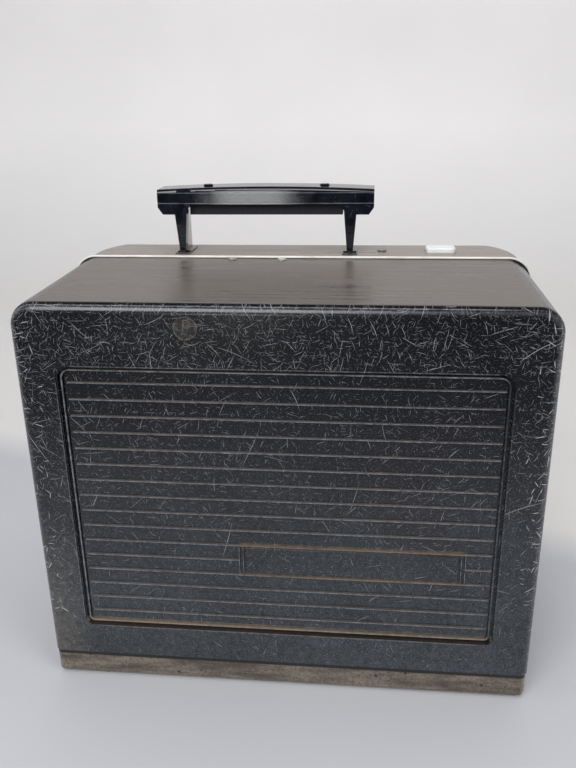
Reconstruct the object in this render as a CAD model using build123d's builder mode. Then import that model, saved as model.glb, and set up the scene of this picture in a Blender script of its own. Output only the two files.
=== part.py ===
from build123d import *
import os
from math import copysign, cos, pi, radians, sin, sqrt, tan

# Movie projector in its carrying case, shut, as it is carried.
# X is the light's way to the screen, -Y faces the person who threads the film, Z is up.
# The origin is at the middle of the footprint, on the table. Lengths are in millimetres.

# Case
cover_w = 319.4
cover_top = 266.8
cover_depth = 122.0
trim_w = 2.0
trim_proud = 1.7
trim_deep = 8.0
housing_depth = 74.0
draft = 0.7
wall = 3.0
seam_corner_r = 15.0
cover_corner_r = 17.0
front_edge_r = 6.0
back_corner_r = 50.0
back_top_r = 27.0
foot_h = 2.0
tray_h = 17.6
tray_inset = 1.0
tray_wall = 4.9
tray_floor = 2.5
base_gap = 0.5
feet_pitch_x = 250.0
feet_pitch_y = 140.0
gap = 0.3
running = 0.05

# Recessed panel in the cover's face
panel_left = -134.4
panel_right = 134.9
panel_low = 42.7
panel_high = 227.9
panel_deep = 4.5
panel_pad = 1.0
bead_inset = 2.2
bead_w = 0.9
bead_gap = 0.8
rib_count = 16
rib_w = 1.2
rib_h = 1.5
badge_left = -25.3
badge_right = 112.0
badge_first_rib = 11
badge_t = 1.0
gate_mark_r = 7.0
gate_mark_x = -53.6
gate_mark_drop = 14.0

# Carrying handle
handle_x = -24.2
handle_len = 155.4
handle_behind_seam = 17.0
handle_depth = 26.0
handle_rise = 47.1
handle_crown = 2.0
fascia_rise = 36.8
lobe_rise = 29.6
band_rise = 28.6
leg_pitch = 122.0
leg_t = 7.0
leg_top_w = 8.9
leg_low_w = 4.2
leg_rise = 2.8
stub_w = 3.4
strap_t = 3.0
strap_w = 18.0
handle_screw_pitch = 84.6
handle_screw_r = 3.4
guide_h = 26.0

# Latch
latch_x = 102.0
latch_w = 21.0
latch_len = 12.0
latch_behind_seam = 23.0
latch_proud = 3.5
latch_slot_half = 5.0
latch_slot_drop = 28.0
latch_slot_h = 19.0
strike_drop = 12.0
hook_drop = 21.0
hook_t = 4.5

# Deck and the light's way
deck_t = 3.0
film_y = -2.0
beam_z = 135.0
shaft_y = 42.0
shaft_r = 3.0
shutter_x = 46.0
shutter_r = 49.0
shutter_t = 1.2
gate_x = 62.0
gate_t = 11.5
gate_h = 54.0
claw_low = 118.0
claw_high = 129.0
lens_r = 16.0
lens_back = 68.0
lens_len = 66.0
carrier_back = 74.0
carrier_len = 30.0
carrier_h = 50.0
carrier_travel = 8.0
rod_r = 2.5
rod_y = 10.0
rod_pitch = 38.0

# Lamp and lamp house
house_left = -18.0
house_right = 40.0
house_h = 82.0
house_front = -42.0
sheet = 1.2
reflector_r = 20.0
reflector_rim = 24.0

# Film drive
drive_x = 98.0
takeup_x = -84.5
worm_r = 5.8
wheel_teeth = 24
wheel_root_r = 25.0
wheel_tip_r = 27.9
wheel_t = 6.0
sprocket_r = 8.1
sprocket_w = 11.0
spindle_r = 6.2
reel_r = 63.5
reel_w = 13.0
arm_x = 62.0
arm_z = 180.0
arm_len = 58.0
arm_angle = 150.0

# Motor and belt
motor_y = 58.0
motor_z = 54.0
motor_r = 25.0
motor_left = 18.0
motor_len = 62.0
belt_x = -32.0
main_pulley_r = 15.0
motor_pulley_r = 7.5
fan_r = 27.0
fan_left = -12.0
fan_w = 22.0

# Controls
plate_left = 58.0
plate_right = 142.0
plate_low = 22.0
plate_high = 76.0
plate_t = 6.0

# Sizes that follow
total_depth = cover_depth + trim_w + housing_depth
front_y = -total_depth / 2
seam_y = front_y + cover_depth
housing_y = seam_y + trim_w
back_y = total_depth / 2
taper = tan(radians(draft))
seam_half = cover_w / 2 + cover_depth * taper
seam_top = cover_top + cover_depth * taper
tray_top = foot_h + tray_h
tray_inside = foot_h + tray_floor
cover_low = tray_top + base_gap
handle_top = cover_top + handle_rise
fascia_low = cover_top + fascia_rise
lobe_low = cover_top + lobe_rise
band_low = cover_top + band_rise
leg_low = cover_top + leg_rise
gate_mark_z = cover_top - gate_mark_drop
latch_slot_low = seam_top - latch_slot_drop
latch_slot_high = latch_slot_low + latch_slot_h
deck_back = seam_y
deck_front = seam_y - deck_t
lip_h = 3.7
lip_t = 2.3
worm_distance = worm_r + wheel_tip_r + gap
upper_z = beam_z + worm_distance
lower_z = beam_z - worm_distance
handle_y = seam_y + handle_behind_seam
house_low = beam_z - house_h / 2
house_high = beam_z + house_h / 2
tip_x = arm_x + arm_len * cos(radians(arm_angle))
tip_z = arm_z + arm_len * sin(radians(arm_angle))
latch_y = seam_y + latch_behind_seam + latch_len / 2
nail = 1.5


# Planes: a front plane has X across and Z up, and looks towards -Y
def front_plane(y):
    return Plane.XZ.offset(-y)


def side_plane(x):
    return Plane.YZ.offset(x)


def level(z):
    return Plane.XY.offset(z)


# A case outline in a front plane: round top corners, square at the bottom
def case_outline(half, low, high, top_r):
    with BuildSketch() as outline:
        with Locations((0, (low + high) / 2)):
            Rectangle(2 * half, high - low)
        fillet(outline.vertices().group_by(Axis.Y)[-1], top_r)
    return outline.sketch


# A plan outline on a level: small or square front corners, large back corners
def plan_outline(half, y0, y1, front_r, back_r):
    with BuildSketch() as outline:
        with Locations((0, (y0 + y1) / 2)):
            Rectangle(2 * half, y1 - y0)
        if front_r:
            fillet(outline.vertices().group_by(Axis.Y)[0], front_r)
        fillet(outline.vertices().group_by(Axis.Y)[-1], back_r)
    return outline.sketch


# A rectangle given by its limits
def limits(x0, x1, z0, z1):
    with BuildSketch() as outline:
        with Locations(((x0 + x1) / 2, (z0 + z1) / 2)):
            Rectangle(x1 - x0, z1 - z0)
    return outline.sketch


# A block given by its limits
def block(x0, x1, y0, y1, z0, z1):
    with BuildPart() as piece:
        with BuildSketch(level(z0)):
            add(limits(x0, x1, y0, y1))
        extrude(amount=z1 - z0)
    return piece.part


# A turned piece on an axis along X, its outline given as (x, radius) points
def turned_x(points, y, z):
    with BuildPart() as piece:
        with BuildSketch(Plane(origin=(0, y, z), x_dir=(1, 0, 0), z_dir=(0, -1, 0))):
            with BuildLine():
                Polyline(*points, close=True)
            make_face()
        revolve(axis=Axis((0, y, z), (1, 0, 0)))
    return piece.part


# A turned piece on an axis along Y, its outline given as (y, radius) points
def turned_y(points, x, z):
    with BuildPart() as piece:
        with BuildSketch(Plane(origin=(x, 0, z), x_dir=(0, 1, 0), z_dir=(1, 0, 0))):
            with BuildLine():
                Polyline(*points, close=True)
            make_face()
        revolve(axis=Axis((x, 0, z), (0, 1, 0)))
    return piece.part


# A plain rod between two ends, on an axis along X or Y
def rod_x(x0, x1, y, z, r):
    return turned_x([(x0, 0), (x0, r), (x1, r), (x1, 0)], y, z)


def rod_y_axis(y0, y1, x, z, r):
    return turned_y([(y0, 0), (y0, r), (y1, r), (y1, 0)], x, z)


# The height of the cover's top, outside, at a distance y
def cover_high(y):
    return cover_top + (y - front_y) * taper


def save(piece, name):
    piece.part.label = name
    export_step(piece.part, "parts/" + name + ".step")


os.makedirs("parts", exist_ok=True)


# Base tray: a shallow pan with a lip that the cover slips over
with BuildPart() as base_tray:
    tray_half = cover_w / 2 - tray_inset
    tray_front = front_y + tray_inset
    tray_back = back_y - tray_inset
    with BuildSketch(level(foot_h)):
        add(plan_outline(tray_half, tray_front, tray_back, 4, back_corner_r - tray_inset))
    extrude(amount=tray_h)
    fillet(base_tray.edges().group_by(Axis.Z)[0], 2.2)
    with BuildSketch(level(tray_inside)):
        add(plan_outline(tray_half - tray_wall, tray_front + tray_wall, tray_back - tray_wall,
                         2, back_corner_r - tray_inset - tray_wall))
    extrude(amount=tray_h, mode=Mode.SUBTRACT)
    lip_half = tray_half - tray_wall + lip_t
    lip_front = tray_front + tray_wall - lip_t
    lip_back = deck_front - gap
    with BuildSketch(level(tray_top)):
        add(limits(-lip_half, lip_half, lip_front, lip_back))
        add(limits(-lip_half + lip_t, lip_half - lip_t, lip_front + lip_t, lip_back), mode=Mode.SUBTRACT)
    extrude(amount=lip_h)
    tilt_x = 96.0
    tilt_y = -62.0
    tilt_r = 5.0
    tilt_guide_r = 9.0
    tilt_guide_h = 30.0
    with BuildSketch(level(tray_inside)):
        with Locations((tilt_x, tilt_y)):
            Circle(tilt_guide_r)
    extrude(amount=tilt_guide_h)
    with BuildSketch(level(foot_h)):
        with Locations((tilt_x, tilt_y)):
            Circle(tilt_r + running)
    extrude(amount=tray_floor + tilt_guide_h, mode=Mode.SUBTRACT)
    lock_z = tray_inside + tilt_guide_h - 9
    lock_r = 2.5
    with BuildSketch(front_plane(tilt_y)):
        with Locations((tilt_x, lock_z)):
            Circle(lock_r + running)
    extrude(amount=tilt_guide_r, mode=Mode.SUBTRACT)
save(base_tray, "base_tray")

# Rubber feet, one near each corner
with BuildPart() as rubber_feet:
    with BuildSketch(level(0)):
        with GridLocations(feet_pitch_x, feet_pitch_y, 2, 2):
            Circle(7)
    extrude(amount=foot_h)
    chamfer(rubber_feet.edges().group_by(Axis.Z)[0], 0.6)
save(rubber_feet, "rubber_feet")

# Tilt foot: a pad on a stem that slides in the tray's guide
with BuildPart() as tilt_foot:
    with BuildSketch(level(foot_h - 1.7)):
        with Locations((tilt_x, tilt_y)):
            Circle(8)
    extrude(amount=1.5)
    with BuildSketch(level(foot_h - 1)):
        with Locations((tilt_x, tilt_y)):
            Circle(tilt_r)
    extrude(amount=tray_floor + tilt_guide_h + 6)
    chamfer(tilt_foot.edges().group_by(Axis.Z)[-1], 0.8)
save(tilt_foot, "tilt_foot")


# A fluted knob on an axis along Y, with its shaft behind it and a pointer line in its face
def knob(x, z, r, y_front, y_back, shaft, y_end, flutes):
    with BuildPart() as piece:
        with BuildSketch(front_plane(y_back)):
            with Locations((x, z)):
                Circle(r)
                with PolarLocations(r, flutes):
                    Rectangle(1.2, 1.6, mode=Mode.SUBTRACT)
        extrude(amount=y_back - y_front)
        with BuildSketch(front_plane(y_front)):
            with Locations((x, z + r / 2)):
                Rectangle(1, r - 4)
        extrude(amount=-0.5, mode=Mode.SUBTRACT)
        add(rod_y_axis(y_back, y_end, x, z, shaft))
    return piece


# Lock knob of the tilt foot, its screw in the guide's side
lock_front = tilt_y - tilt_guide_r - 12
lock_back = tilt_y - tilt_guide_r - 1
tilt_lock_knob = knob(tilt_x, lock_z, 8, lock_front, lock_back, lock_r, tilt_y - tilt_r - gap, 12)
save(tilt_lock_knob, "tilt_lock_knob")

# Deck plate: carries the film's way in front and the drive behind
boss_r = 8.0
boss_h = 10.0
spindle_shaft_r = 4.0
arm_pin_r = 5.0
deck_half = seam_half - wall - 0.5
deck_high = seam_top - wall - 0.6
tongue_x0 = -57.0
tongue_x1 = 0.0
with BuildPart() as deck_plate:
    with BuildSketch(front_plane(deck_back)):
        add(case_outline(deck_half, tray_top + 0.2, deck_high, cover_corner_r - wall))
        add(limits(-tray_half + tray_wall + 0.2, tray_half - tray_wall - 0.2, tray_inside, tray_top + 1))
    extrude(amount=deck_t)
    with BuildSketch(front_plane(deck_back + boss_h)):
        with Locations((drive_x, upper_z), (drive_x, lower_z), (takeup_x, lower_z), (arm_x, arm_z)):
            Circle(boss_r)
    extrude(amount=boss_h)
    with BuildSketch(front_plane(deck_back + boss_h)):
        with Locations((drive_x, upper_z), (drive_x, lower_z)):
            Circle(shaft_r + running)
        with Locations((takeup_x, lower_z)):
            Circle(spindle_shaft_r + running)
        with Locations((arm_x, arm_z)):
            Circle(arm_pin_r + running)
    extrude(amount=boss_h + deck_t, mode=Mode.SUBTRACT)
    slot_half = sqrt(shutter_r ** 2 - (shaft_y - deck_back) ** 2) + 4
    with BuildSketch(front_plane(deck_back)):
        add(limits(shutter_x - 2.4, shutter_x + 2.4, beam_z - slot_half, beam_z + slot_half))
        add(limits(gate_x - 7, gate_x - 1, claw_low - 4, claw_high))
        add(limits(fan_left, fan_left + fan_w, house_low + 3, house_low + 19))
        add(limits(tongue_x0, tongue_x1, deck_high - 4.5, deck_high + 1))
        add(limits(latch_x - latch_slot_half, latch_x + latch_slot_half, latch_slot_low, latch_slot_high))
    extrude(amount=deck_t, mode=Mode.SUBTRACT)
save(deck_plate, "deck_plate")

# Deck angles: hold the deck upright on the tray's floor
with BuildPart() as deck_angles:
    for x0 in (-70.0, 100.0):
        add(block(x0, x0 + 20, deck_back, deck_back + 2, tray_inside, tray_inside + 26))
        add(block(x0, x0 + 20, deck_back, deck_back + 18, tray_inside, tray_inside + 2))
save(deck_angles, "deck_angles")


# The rear housing's form, smaller all round by an inset, from y0 and up from a level:
# rounded in plan, round along its top edges, and more so at the back
def housing_form(inset, y0, low):
    half = seam_half - inset
    high = seam_top - inset
    y1 = back_y - inset
    with BuildPart() as form:
        with BuildSketch(level(low)):
            add(plan_outline(half, y0, y1, 0, back_corner_r - inset))
        extrude(amount=high - low)
        top_edges = form.faces().sort_by(Axis.Z)[-1].edges().sort_by(Axis.Y)
        fillet(top_edges[1:], seam_corner_r - inset)
        with BuildSketch(side_plane(-half)) as side:
            add(limits(y0, y1, low, high))
            fillet(side.vertices().group_by(Axis.Y)[-1].sort_by(Axis.X)[-1], back_top_r - inset)
        extrude(amount=2 * half, mode=Mode.INTERSECT)
    return form.part


# Rear housing: one moulded shell with louvres, and cuts for handle, latch and inlet
inlet_x = 96.0
inlet_z = 38.0
inlet_w = 24.0
inlet_h = 18.0
flange_h = 3.0
slot_w = 11.0
leg_xs = (handle_x - leg_pitch / 2, handle_x + leg_pitch / 2)
strap_front = handle_y + leg_t
strap_back = strap_front + strap_w
guide_y0 = handle_y - 3
guide_y1 = strap_back + 3
with BuildPart() as rear_housing:
    add(housing_form(0, housing_y, tray_top))
    add(housing_form(wall, housing_y - 1, tray_top + flange_h), mode=Mode.SUBTRACT)
    with BuildSketch(level(tray_top)):
        add(plan_outline(tray_half - tray_wall - 1, housing_y - 1, tray_back - tray_wall - 1, 0,
                         back_corner_r - tray_inset - tray_wall - 1))
    extrude(amount=flange_h, mode=Mode.SUBTRACT)
    with BuildSketch(level(seam_top - wall - 1)):
        for x in leg_xs:
            add(limits(x - slot_w / 2, x + slot_w / 2, guide_y0 + 1.6, guide_y1 - 1.6))
        add(limits(latch_x - latch_w / 2 - gap, latch_x + latch_w / 2 + gap,
                   latch_y - latch_len / 2 - gap, latch_y + latch_len / 2 + gap))
    extrude(amount=wall + 2, mode=Mode.SUBTRACT)
    with BuildSketch(front_plane(back_y)):
        with Locations((inlet_x, inlet_z)):
            Rectangle(inlet_w, inlet_h)
    extrude(amount=wall, mode=Mode.SUBTRACT)
    with BuildSketch(front_plane(back_y)):
        with Locations((-60, 150)):
            with GridLocations(64, 9, 2, 9):
                Rectangle(52, 4)
        with Locations((fan_left + fan_w / 2, motor_z)):
            with GridLocations(0, 8, 1, 5):
                Rectangle(44, 3.6)
    extrude(amount=wall, mode=Mode.SUBTRACT)
save(rear_housing, "rear_housing")

# Trim band: the bright strip that shows round the seam
with BuildPart() as trim_band:
    with BuildSketch(front_plane(housing_y)):
        add(case_outline(seam_half + trim_proud, tray_top, seam_top + trim_proud, seam_corner_r + trim_proud))
        add(case_outline(seam_half - trim_deep, tray_top - 1, seam_top - trim_deep, seam_corner_r - trim_deep),
            mode=Mode.SUBTRACT)
        add(limits(tongue_x0, tongue_x1, deck_high - 6, deck_high + 0.2), mode=Mode.SUBTRACT)
        add(limits(latch_x - latch_slot_half, latch_x + latch_slot_half, latch_slot_low, seam_top - trim_deep),
            mode=Mode.SUBTRACT)
    extrude(amount=trim_w)
    rim_half = seam_half - trim_deep / 2
    rim_low = seam_top - trim_deep / 2
    rim = trim_band.edges().filter_by(lambda e: e.length > trim_w + 1 and (e @ 0.5).Z > tray_top + 1
                                      and (abs((e @ 0.5).X) > rim_half or (e @ 0.5).Z > rim_low))
    chamfer(rim, 0.6)
save(trim_band, "trim_band")

# Housing screws: one on top, four in the back
with BuildPart() as housing_screws:
    top_screw_x = 60.0
    top_screw_y = seam_y + 29
    with BuildSketch(level(seam_top)):
        with Locations((top_screw_x, top_screw_y)):
            Circle(3.2)
    extrude(amount=0.9)
    with BuildSketch(front_plane(back_y - wall)):
        with Locations((0, 138)):
            with GridLocations(216, 156, 2, 2):
                Circle(2.6)
    extrude(amount=6)
save(housing_screws, "housing_screws")

# Front cover: drafted shell, open at the back and below, with the recessed ribbed panel
rib_pitch = (panel_high - panel_low) / (rib_count + 1)
pad_inset = bead_inset + bead_w + bead_gap
floor_y = front_y + panel_deep
pad_y = floor_y - panel_pad
rivet_xs = (-45.0, -10.0)
rivet_y = seam_y - 3.4


# The cover's drafted block, smaller all round by an inset, from the seam to y
def cover_form(inset, y):
    with BuildPart() as form:
        with BuildSketch(front_plane(seam_y)):
            add(case_outline(seam_half - inset, tray_inside, seam_top - inset, cover_corner_r - inset))
        extrude(amount=seam_y - y, taper=draft)
        add(block(-cover_w, cover_w, front_y - 1, seam_y, foot_h, cover_low), mode=Mode.SUBTRACT)
    return form.part


# The panel's outline, smaller all round by an inset
def panel_outline(inset):
    with BuildSketch() as outline:
        add(limits(panel_left + inset, panel_right - inset, panel_low + inset, panel_high - inset))
        fillet(outline.vertices().group_by(Axis.Y)[-1], 8 - inset)
        fillet(outline.vertices().group_by(Axis.Y)[0], 5.5 - inset)
    return outline.sketch


with BuildPart() as front_cover:
    add(cover_form(0, front_y))
    face_edges = front_cover.faces().sort_by(Axis.Y)[0].edges()
    fillet(face_edges.sort_by(Axis.Z)[1:], front_edge_r)
    add(cover_form(wall, front_y + wall), mode=Mode.SUBTRACT)
    with BuildSketch(front_plane(floor_y + wall)):
        add(limits(panel_left - wall, panel_right + wall, panel_low - wall, panel_high + wall))
    extrude(amount=panel_deep + wall / 2)
    with BuildSketch(front_plane(front_y)):
        add(panel_outline(0))
    extrude(amount=-panel_deep, mode=Mode.SUBTRACT)
    with BuildSketch(front_plane(floor_y)):
        add(panel_outline(bead_inset))
        add(panel_outline(bead_inset + bead_w), mode=Mode.SUBTRACT)
    extrude(amount=panel_pad + rib_h)
    with BuildSketch(front_plane(floor_y)):
        add(panel_outline(pad_inset))
    extrude(amount=panel_pad)
    badge_high = panel_high - badge_first_rib * rib_pitch
    badge_low = badge_high - 2 * rib_pitch
    rib_left = panel_left + pad_inset + 1.6
    rib_right = panel_right - pad_inset
    with BuildSketch(front_plane(pad_y)):
        for i in range(1, rib_count + 1):
            z = panel_high - i * rib_pitch
            if badge_low + 1 < z < badge_high - 1:
                add(limits(rib_left, badge_left - 3, z - rib_w / 2, z + rib_w / 2))
                add(limits(badge_right + 3, rib_right, z - rib_w / 2, z + rib_w / 2))
            else:
                add(limits(rib_left, rib_right, z - rib_w / 2, z + rib_w / 2))
        for x in (badge_left, badge_right, badge_left - 2.6, badge_right + 2.6):
            add(limits(x - 0.5, x + 0.5, badge_low, badge_high))
    extrude(amount=rib_h, taper=12)
    with BuildSketch(front_plane(front_y)):
        with Locations((gate_mark_x, gate_mark_z)):
            Circle(gate_mark_r)
    extrude(amount=-0.3, mode=Mode.SUBTRACT)
    with BuildSketch(level(seam_top - wall - 2)):
        with Locations(*[(x, rivet_y) for x in rivet_xs]):
            Circle(nail)
    extrude(amount=wall + 4, mode=Mode.SUBTRACT)
save(front_cover, "front_cover")

# Badge plate: a bare strip in its pocket
with BuildPart() as badge_plate:
    with BuildSketch(front_plane(pad_y)):
        add(limits(badge_left + 1.4, badge_right - 1.4, badge_low + 1.6, badge_high - 1.6))
    extrude(amount=badge_t)
    chamfer(badge_plate.faces().sort_by(Axis.Y)[0].edges(), 0.3)
save(badge_plate, "badge_plate")

# Guide tongue inside the cover, with its two rivets through the cover's top
tongue_high = cover_high(front_y + cover_depth / 2 + 20) - wall - 0.6
tongue_t = 1.6
with BuildPart() as cover_tongue:
    add(block(tongue_x0 + 3, tongue_x1 - 3, seam_y - 16, seam_y + 9, tongue_high - tongue_t, tongue_high))
    with BuildSketch(level(tongue_high)):
        with Locations(*[(x, rivet_y) for x in rivet_xs]):
            Circle(nail)
    extrude(amount=cover_high(rivet_y) + 0.4 - tongue_high)
    with BuildSketch(level(cover_high(rivet_y) + 0.05)):
        with Locations(*[(x, rivet_y) for x in rivet_xs]):
            Circle(3.0)
    extrude(amount=1.1)
    chamfer(cover_tongue.edges().group_by(Axis.Z)[-1], 0.5)
save(cover_tongue, "cover_tongue")

# Strike under the cover's top, that the latch hook holds
strike_high = cover_high(seam_y - 15) - wall - 0.1
strike_low = seam_top - strike_drop
lip_y0 = seam_y - 15
with BuildPart() as cover_strike:
    with BuildSketch(side_plane(latch_x - 7.5)):
        with BuildLine():
            Polyline((lip_y0, strike_high), (lip_y0, strike_low), (lip_y0 + 1.5, strike_low),
                     (lip_y0 + 1.5, strike_high - 1.5), (lip_y0 + 11, strike_high - 1.5),
                     (lip_y0 + 11, strike_high), close=True)
        make_face()
    extrude(amount=15)
save(cover_strike, "cover_strike")

# Latch button: its cap stands in the housing's top, its collar stays under it
with BuildPart() as latch_button:
    with BuildSketch(level(seam_top - wall - 4)):
        with Locations((latch_x, latch_y)):
            Rectangle(latch_w + 3, latch_len + 3)
    extrude(amount=4 - gap)
    with BuildSketch(level(seam_top - wall - 1)):
        with Locations((latch_x, latch_y)):
            RectangleRounded(latch_w, latch_len, 2.5)
    extrude(amount=wall + 1 + latch_proud)
    fillet(latch_button.faces().sort_by(Axis.Z)[-1].edges(), 1.2)
save(latch_button, "latch_button")

# Latch hook: from the button's underside, through the deck, to just below the strike's lip
hook_top = seam_top - wall - 4
hook_low = seam_top - hook_drop
nose_y0 = lip_y0 - 4.5
with BuildPart() as latch_hook:
    with BuildSketch(side_plane(latch_x - 3.5)):
        with BuildLine():
            Polyline((latch_y + 5, hook_top), (latch_y + 5, hook_low), (nose_y0, hook_low),
                     (nose_y0, strike_low - gap), (nose_y0 + 3.8, strike_low - gap),
                     (nose_y0 + 3.8, hook_low + hook_t), (latch_y - 4, hook_low + hook_t),
                     (latch_y - 4, hook_top), close=True)
        make_face()
    extrude(amount=7)
save(latch_hook, "latch_hook")


# Handle guides: a slotted block under the housing's top at each leg
with BuildPart() as handle_guides:
    for x in leg_xs:
        guide_half = slot_w / 2 - running
        with BuildSketch(level(seam_top - wall - guide_h + 4)):
            add(limits(x - guide_half - 4, x + guide_half + 4, guide_y0, guide_y1))
        extrude(amount=guide_h - 4)
        with BuildSketch(level(seam_top - wall)):
            add(limits(x - guide_half, x + guide_half, guide_y0 + 1.7, guide_y1 - 1.7))
        extrude(amount=wall + 0.8)
        with BuildSketch(level(seam_top - wall - guide_h)):
            add(limits(x - leg_top_w / 2 - gap, x + leg_top_w / 2 + gap,
                       handle_y - gap, strap_front + gap))
            add(limits(x - strap_t / 2 - 0.2, x + strap_t / 2 + 0.2, strap_front, strap_back + 0.2))
        extrude(amount=guide_h + wall + 2, mode=Mode.SUBTRACT)
save(handle_guides, "handle_guides")


# The grip's top line: a flat arch between its ends
def crown_arc(half, z, rise):
    return ThreePointArc((handle_x + half, z), (handle_x, z + rise), (handle_x - half, z))


# Handle grip: a deep bar with a front fascia whose ends run down into the two legs
with BuildPart() as handle_grip:
    half = handle_len / 2
    leg = leg_pitch / 2
    right = [(half, handle_top), (half, lobe_low + 5), (half - 3.5, lobe_low), (leg + leg_top_w / 2, lobe_low),
             (leg + leg_low_w / 2, leg_low), (leg + stub_w / 2, leg_low), (leg + stub_w / 2, leg_low - 12),
             (leg - stub_w / 2, leg_low - 12), (leg - stub_w / 2, leg_low), (leg - leg_low_w / 2, leg_low),
             (leg - leg_top_w / 2, fascia_low - 4), (leg - leg_top_w / 2 - 4, fascia_low)]
    left = [(-x, z) for x, z in reversed(right)]
    with BuildSketch(front_plane(strap_front)):
        with BuildLine():
            Polyline(*[(handle_x + x, z) for x, z in right + left])
            crown_arc(-half, handle_top, handle_crown)
        make_face()
    extrude(amount=leg_t)
    with BuildSketch(front_plane(handle_y + handle_depth)):
        with BuildLine():
            Polyline((handle_x + half, handle_top), (handle_x + half, fascia_low + 1.5),
                     (handle_x + half - 3, fascia_low - 1.5), (handle_x - half + 3, fascia_low - 1.5),
                     (handle_x - half, fascia_low + 1.5), (handle_x - half, handle_top))
            crown_arc(-half, handle_top, handle_crown)
        make_face()
    extrude(amount=handle_depth - leg_t)
    top_edges = handle_grip.edges().filter_by(GeomType.CIRCLE).group_by(Axis.Y)
    fillet(top_edges[0] + top_edges[-1], 2.6)
    add(block(handle_x - leg + 5.5, handle_x + leg - 5.5,
              strap_front, handle_y + handle_depth - 3, band_low, fascia_low))
    with BuildSketch(front_plane(handle_y)):
        add(limits(handle_x - half + 3, handle_x + half - 3, fascia_low + 1, handle_top - 2.6))
    extrude(amount=-0.6, mode=Mode.SUBTRACT)
    with BuildSketch(level(handle_top + 0.6)):
        with Locations((handle_x, handle_y + handle_depth / 2)):
            with GridLocations(handle_screw_pitch, 0, 2, 1):
                Circle(handle_screw_r)
    extrude(amount=handle_crown, mode=Mode.SUBTRACT)
    for x in leg_xs:
        add(block(x - strap_t / 2, x + strap_t / 2, strap_front, strap_back, fascia_low - 3, fascia_low + 4),
            mode=Mode.SUBTRACT)
save(handle_grip, "handle_grip")

# Handle strap: a plated bar behind each leg, with a stop below its guide
with BuildPart() as handle_strap:
    strap_low = seam_top - wall - guide_h - 3
    for x in leg_xs:
        with BuildSketch(level(strap_low)):
            add(limits(x - strap_t / 2, x + strap_t / 2, strap_front, strap_back))
        extrude(amount=fascia_low + 4 - strap_low)
        with BuildSketch(level(strap_low)):
            add(limits(x - 5.5, x + 5.5, strap_front, strap_back))
        extrude(amount=3)
save(handle_strap, "handle_strap")

# Handle screws: two flat domed heads on the grip's top
with BuildPart() as handle_screws:
    with BuildSketch(level(handle_top + 0.6)):
        with Locations((handle_x, handle_y + handle_depth / 2)):
            with GridLocations(handle_screw_pitch, 0, 2, 1):
                Circle(handle_screw_r)
    extrude(amount=handle_crown)
    chamfer(handle_screws.edges().group_by(Axis.Z)[-1], 0.6)
save(handle_screws, "handle_screws")

# Gate block: the film's runway, with the aperture and the claw's channel
with BuildPart() as gate_block:
    gate_y0 = film_y - 12
    add(block(gate_x - gate_t, gate_x, gate_y0, deck_front, beam_z - gate_h / 2, beam_z + gate_h / 2))
    with BuildSketch(side_plane(gate_x)):
        add(limits(film_y - 4.2, film_y + 4.2, beam_z - gate_h / 2, beam_z + gate_h / 2))
    extrude(amount=-0.6, mode=Mode.SUBTRACT)
    with BuildSketch(side_plane(gate_x)):
        with Locations((film_y, beam_z)):
            Rectangle(6.2, 4.6)
        with Locations((rod_y, beam_z - rod_pitch / 2), (rod_y, beam_z + rod_pitch / 2)):
            Circle(rod_r)
    extrude(amount=-gate_t, mode=Mode.SUBTRACT)
    add(block(gate_x - 6, gate_x, gate_y0, deck_front, claw_low, claw_high), mode=Mode.SUBTRACT)
    fillet(gate_block.edges().filter_by(Axis.Z).group_by(Axis.Y)[0], 2)
save(gate_block, "gate_block")

# Carrier rods: the lens carrier slides on them
with BuildPart() as carrier_rods:
    for z in (beam_z - rod_pitch / 2, beam_z + rod_pitch / 2):
        add(rod_x(gate_x - 8, carrier_back + carrier_len + carrier_travel + 3, rod_y, z, rod_r))
save(carrier_rods, "carrier_rods")

# Lens carrier: a block bored for the lens and for the two rods
focus_x = carrier_back + carrier_len / 2
focus_shaft_r = 2.0
focus_z = beam_z - lens_r - focus_shaft_r - 2 * gap
carrier_y0 = film_y - lens_r - 5
with BuildPart() as lens_carrier:
    with BuildSketch(side_plane(carrier_back)) as carrier_face:
        add(limits(carrier_y0, rod_y + rod_r + 3, beam_z - carrier_h / 2, beam_z + carrier_h / 2))
        fillet(carrier_face.vertices(), 5)
        with Locations((film_y, beam_z)):
            Circle(lens_r + running, mode=Mode.SUBTRACT)
        with Locations((rod_y, beam_z - rod_pitch / 2), (rod_y, beam_z + rod_pitch / 2)):
            Circle(rod_r + running, mode=Mode.SUBTRACT)
    extrude(amount=carrier_len)
    add(rod_y_axis(carrier_y0 - 1, film_y + 2, focus_x, focus_z, focus_shaft_r + running), mode=Mode.SUBTRACT)
    chamfer(lens_carrier.faces().sort_by(Axis.X)[-1].outer_wire().edges(), 1)
save(lens_carrier, "lens_carrier")

# Pressure plate: sprung against the film, on two posts from the carrier
plate_x = gate_x + 0.6
with BuildPart() as pressure_plate:
    with BuildSketch(side_plane(plate_x)):
        add(limits(film_y - 8, film_y + 8, beam_z - 22, beam_z + 22))
        with Locations((film_y, beam_z)):
            Rectangle(7, 5.4, mode=Mode.SUBTRACT)
    extrude(amount=1.8)
    for z in (beam_z - lens_r - 3, beam_z + lens_r + 3):
        add(rod_x(plate_x + 1.8, carrier_back, film_y, z, 1.5))
save(pressure_plate, "pressure_plate")

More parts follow.
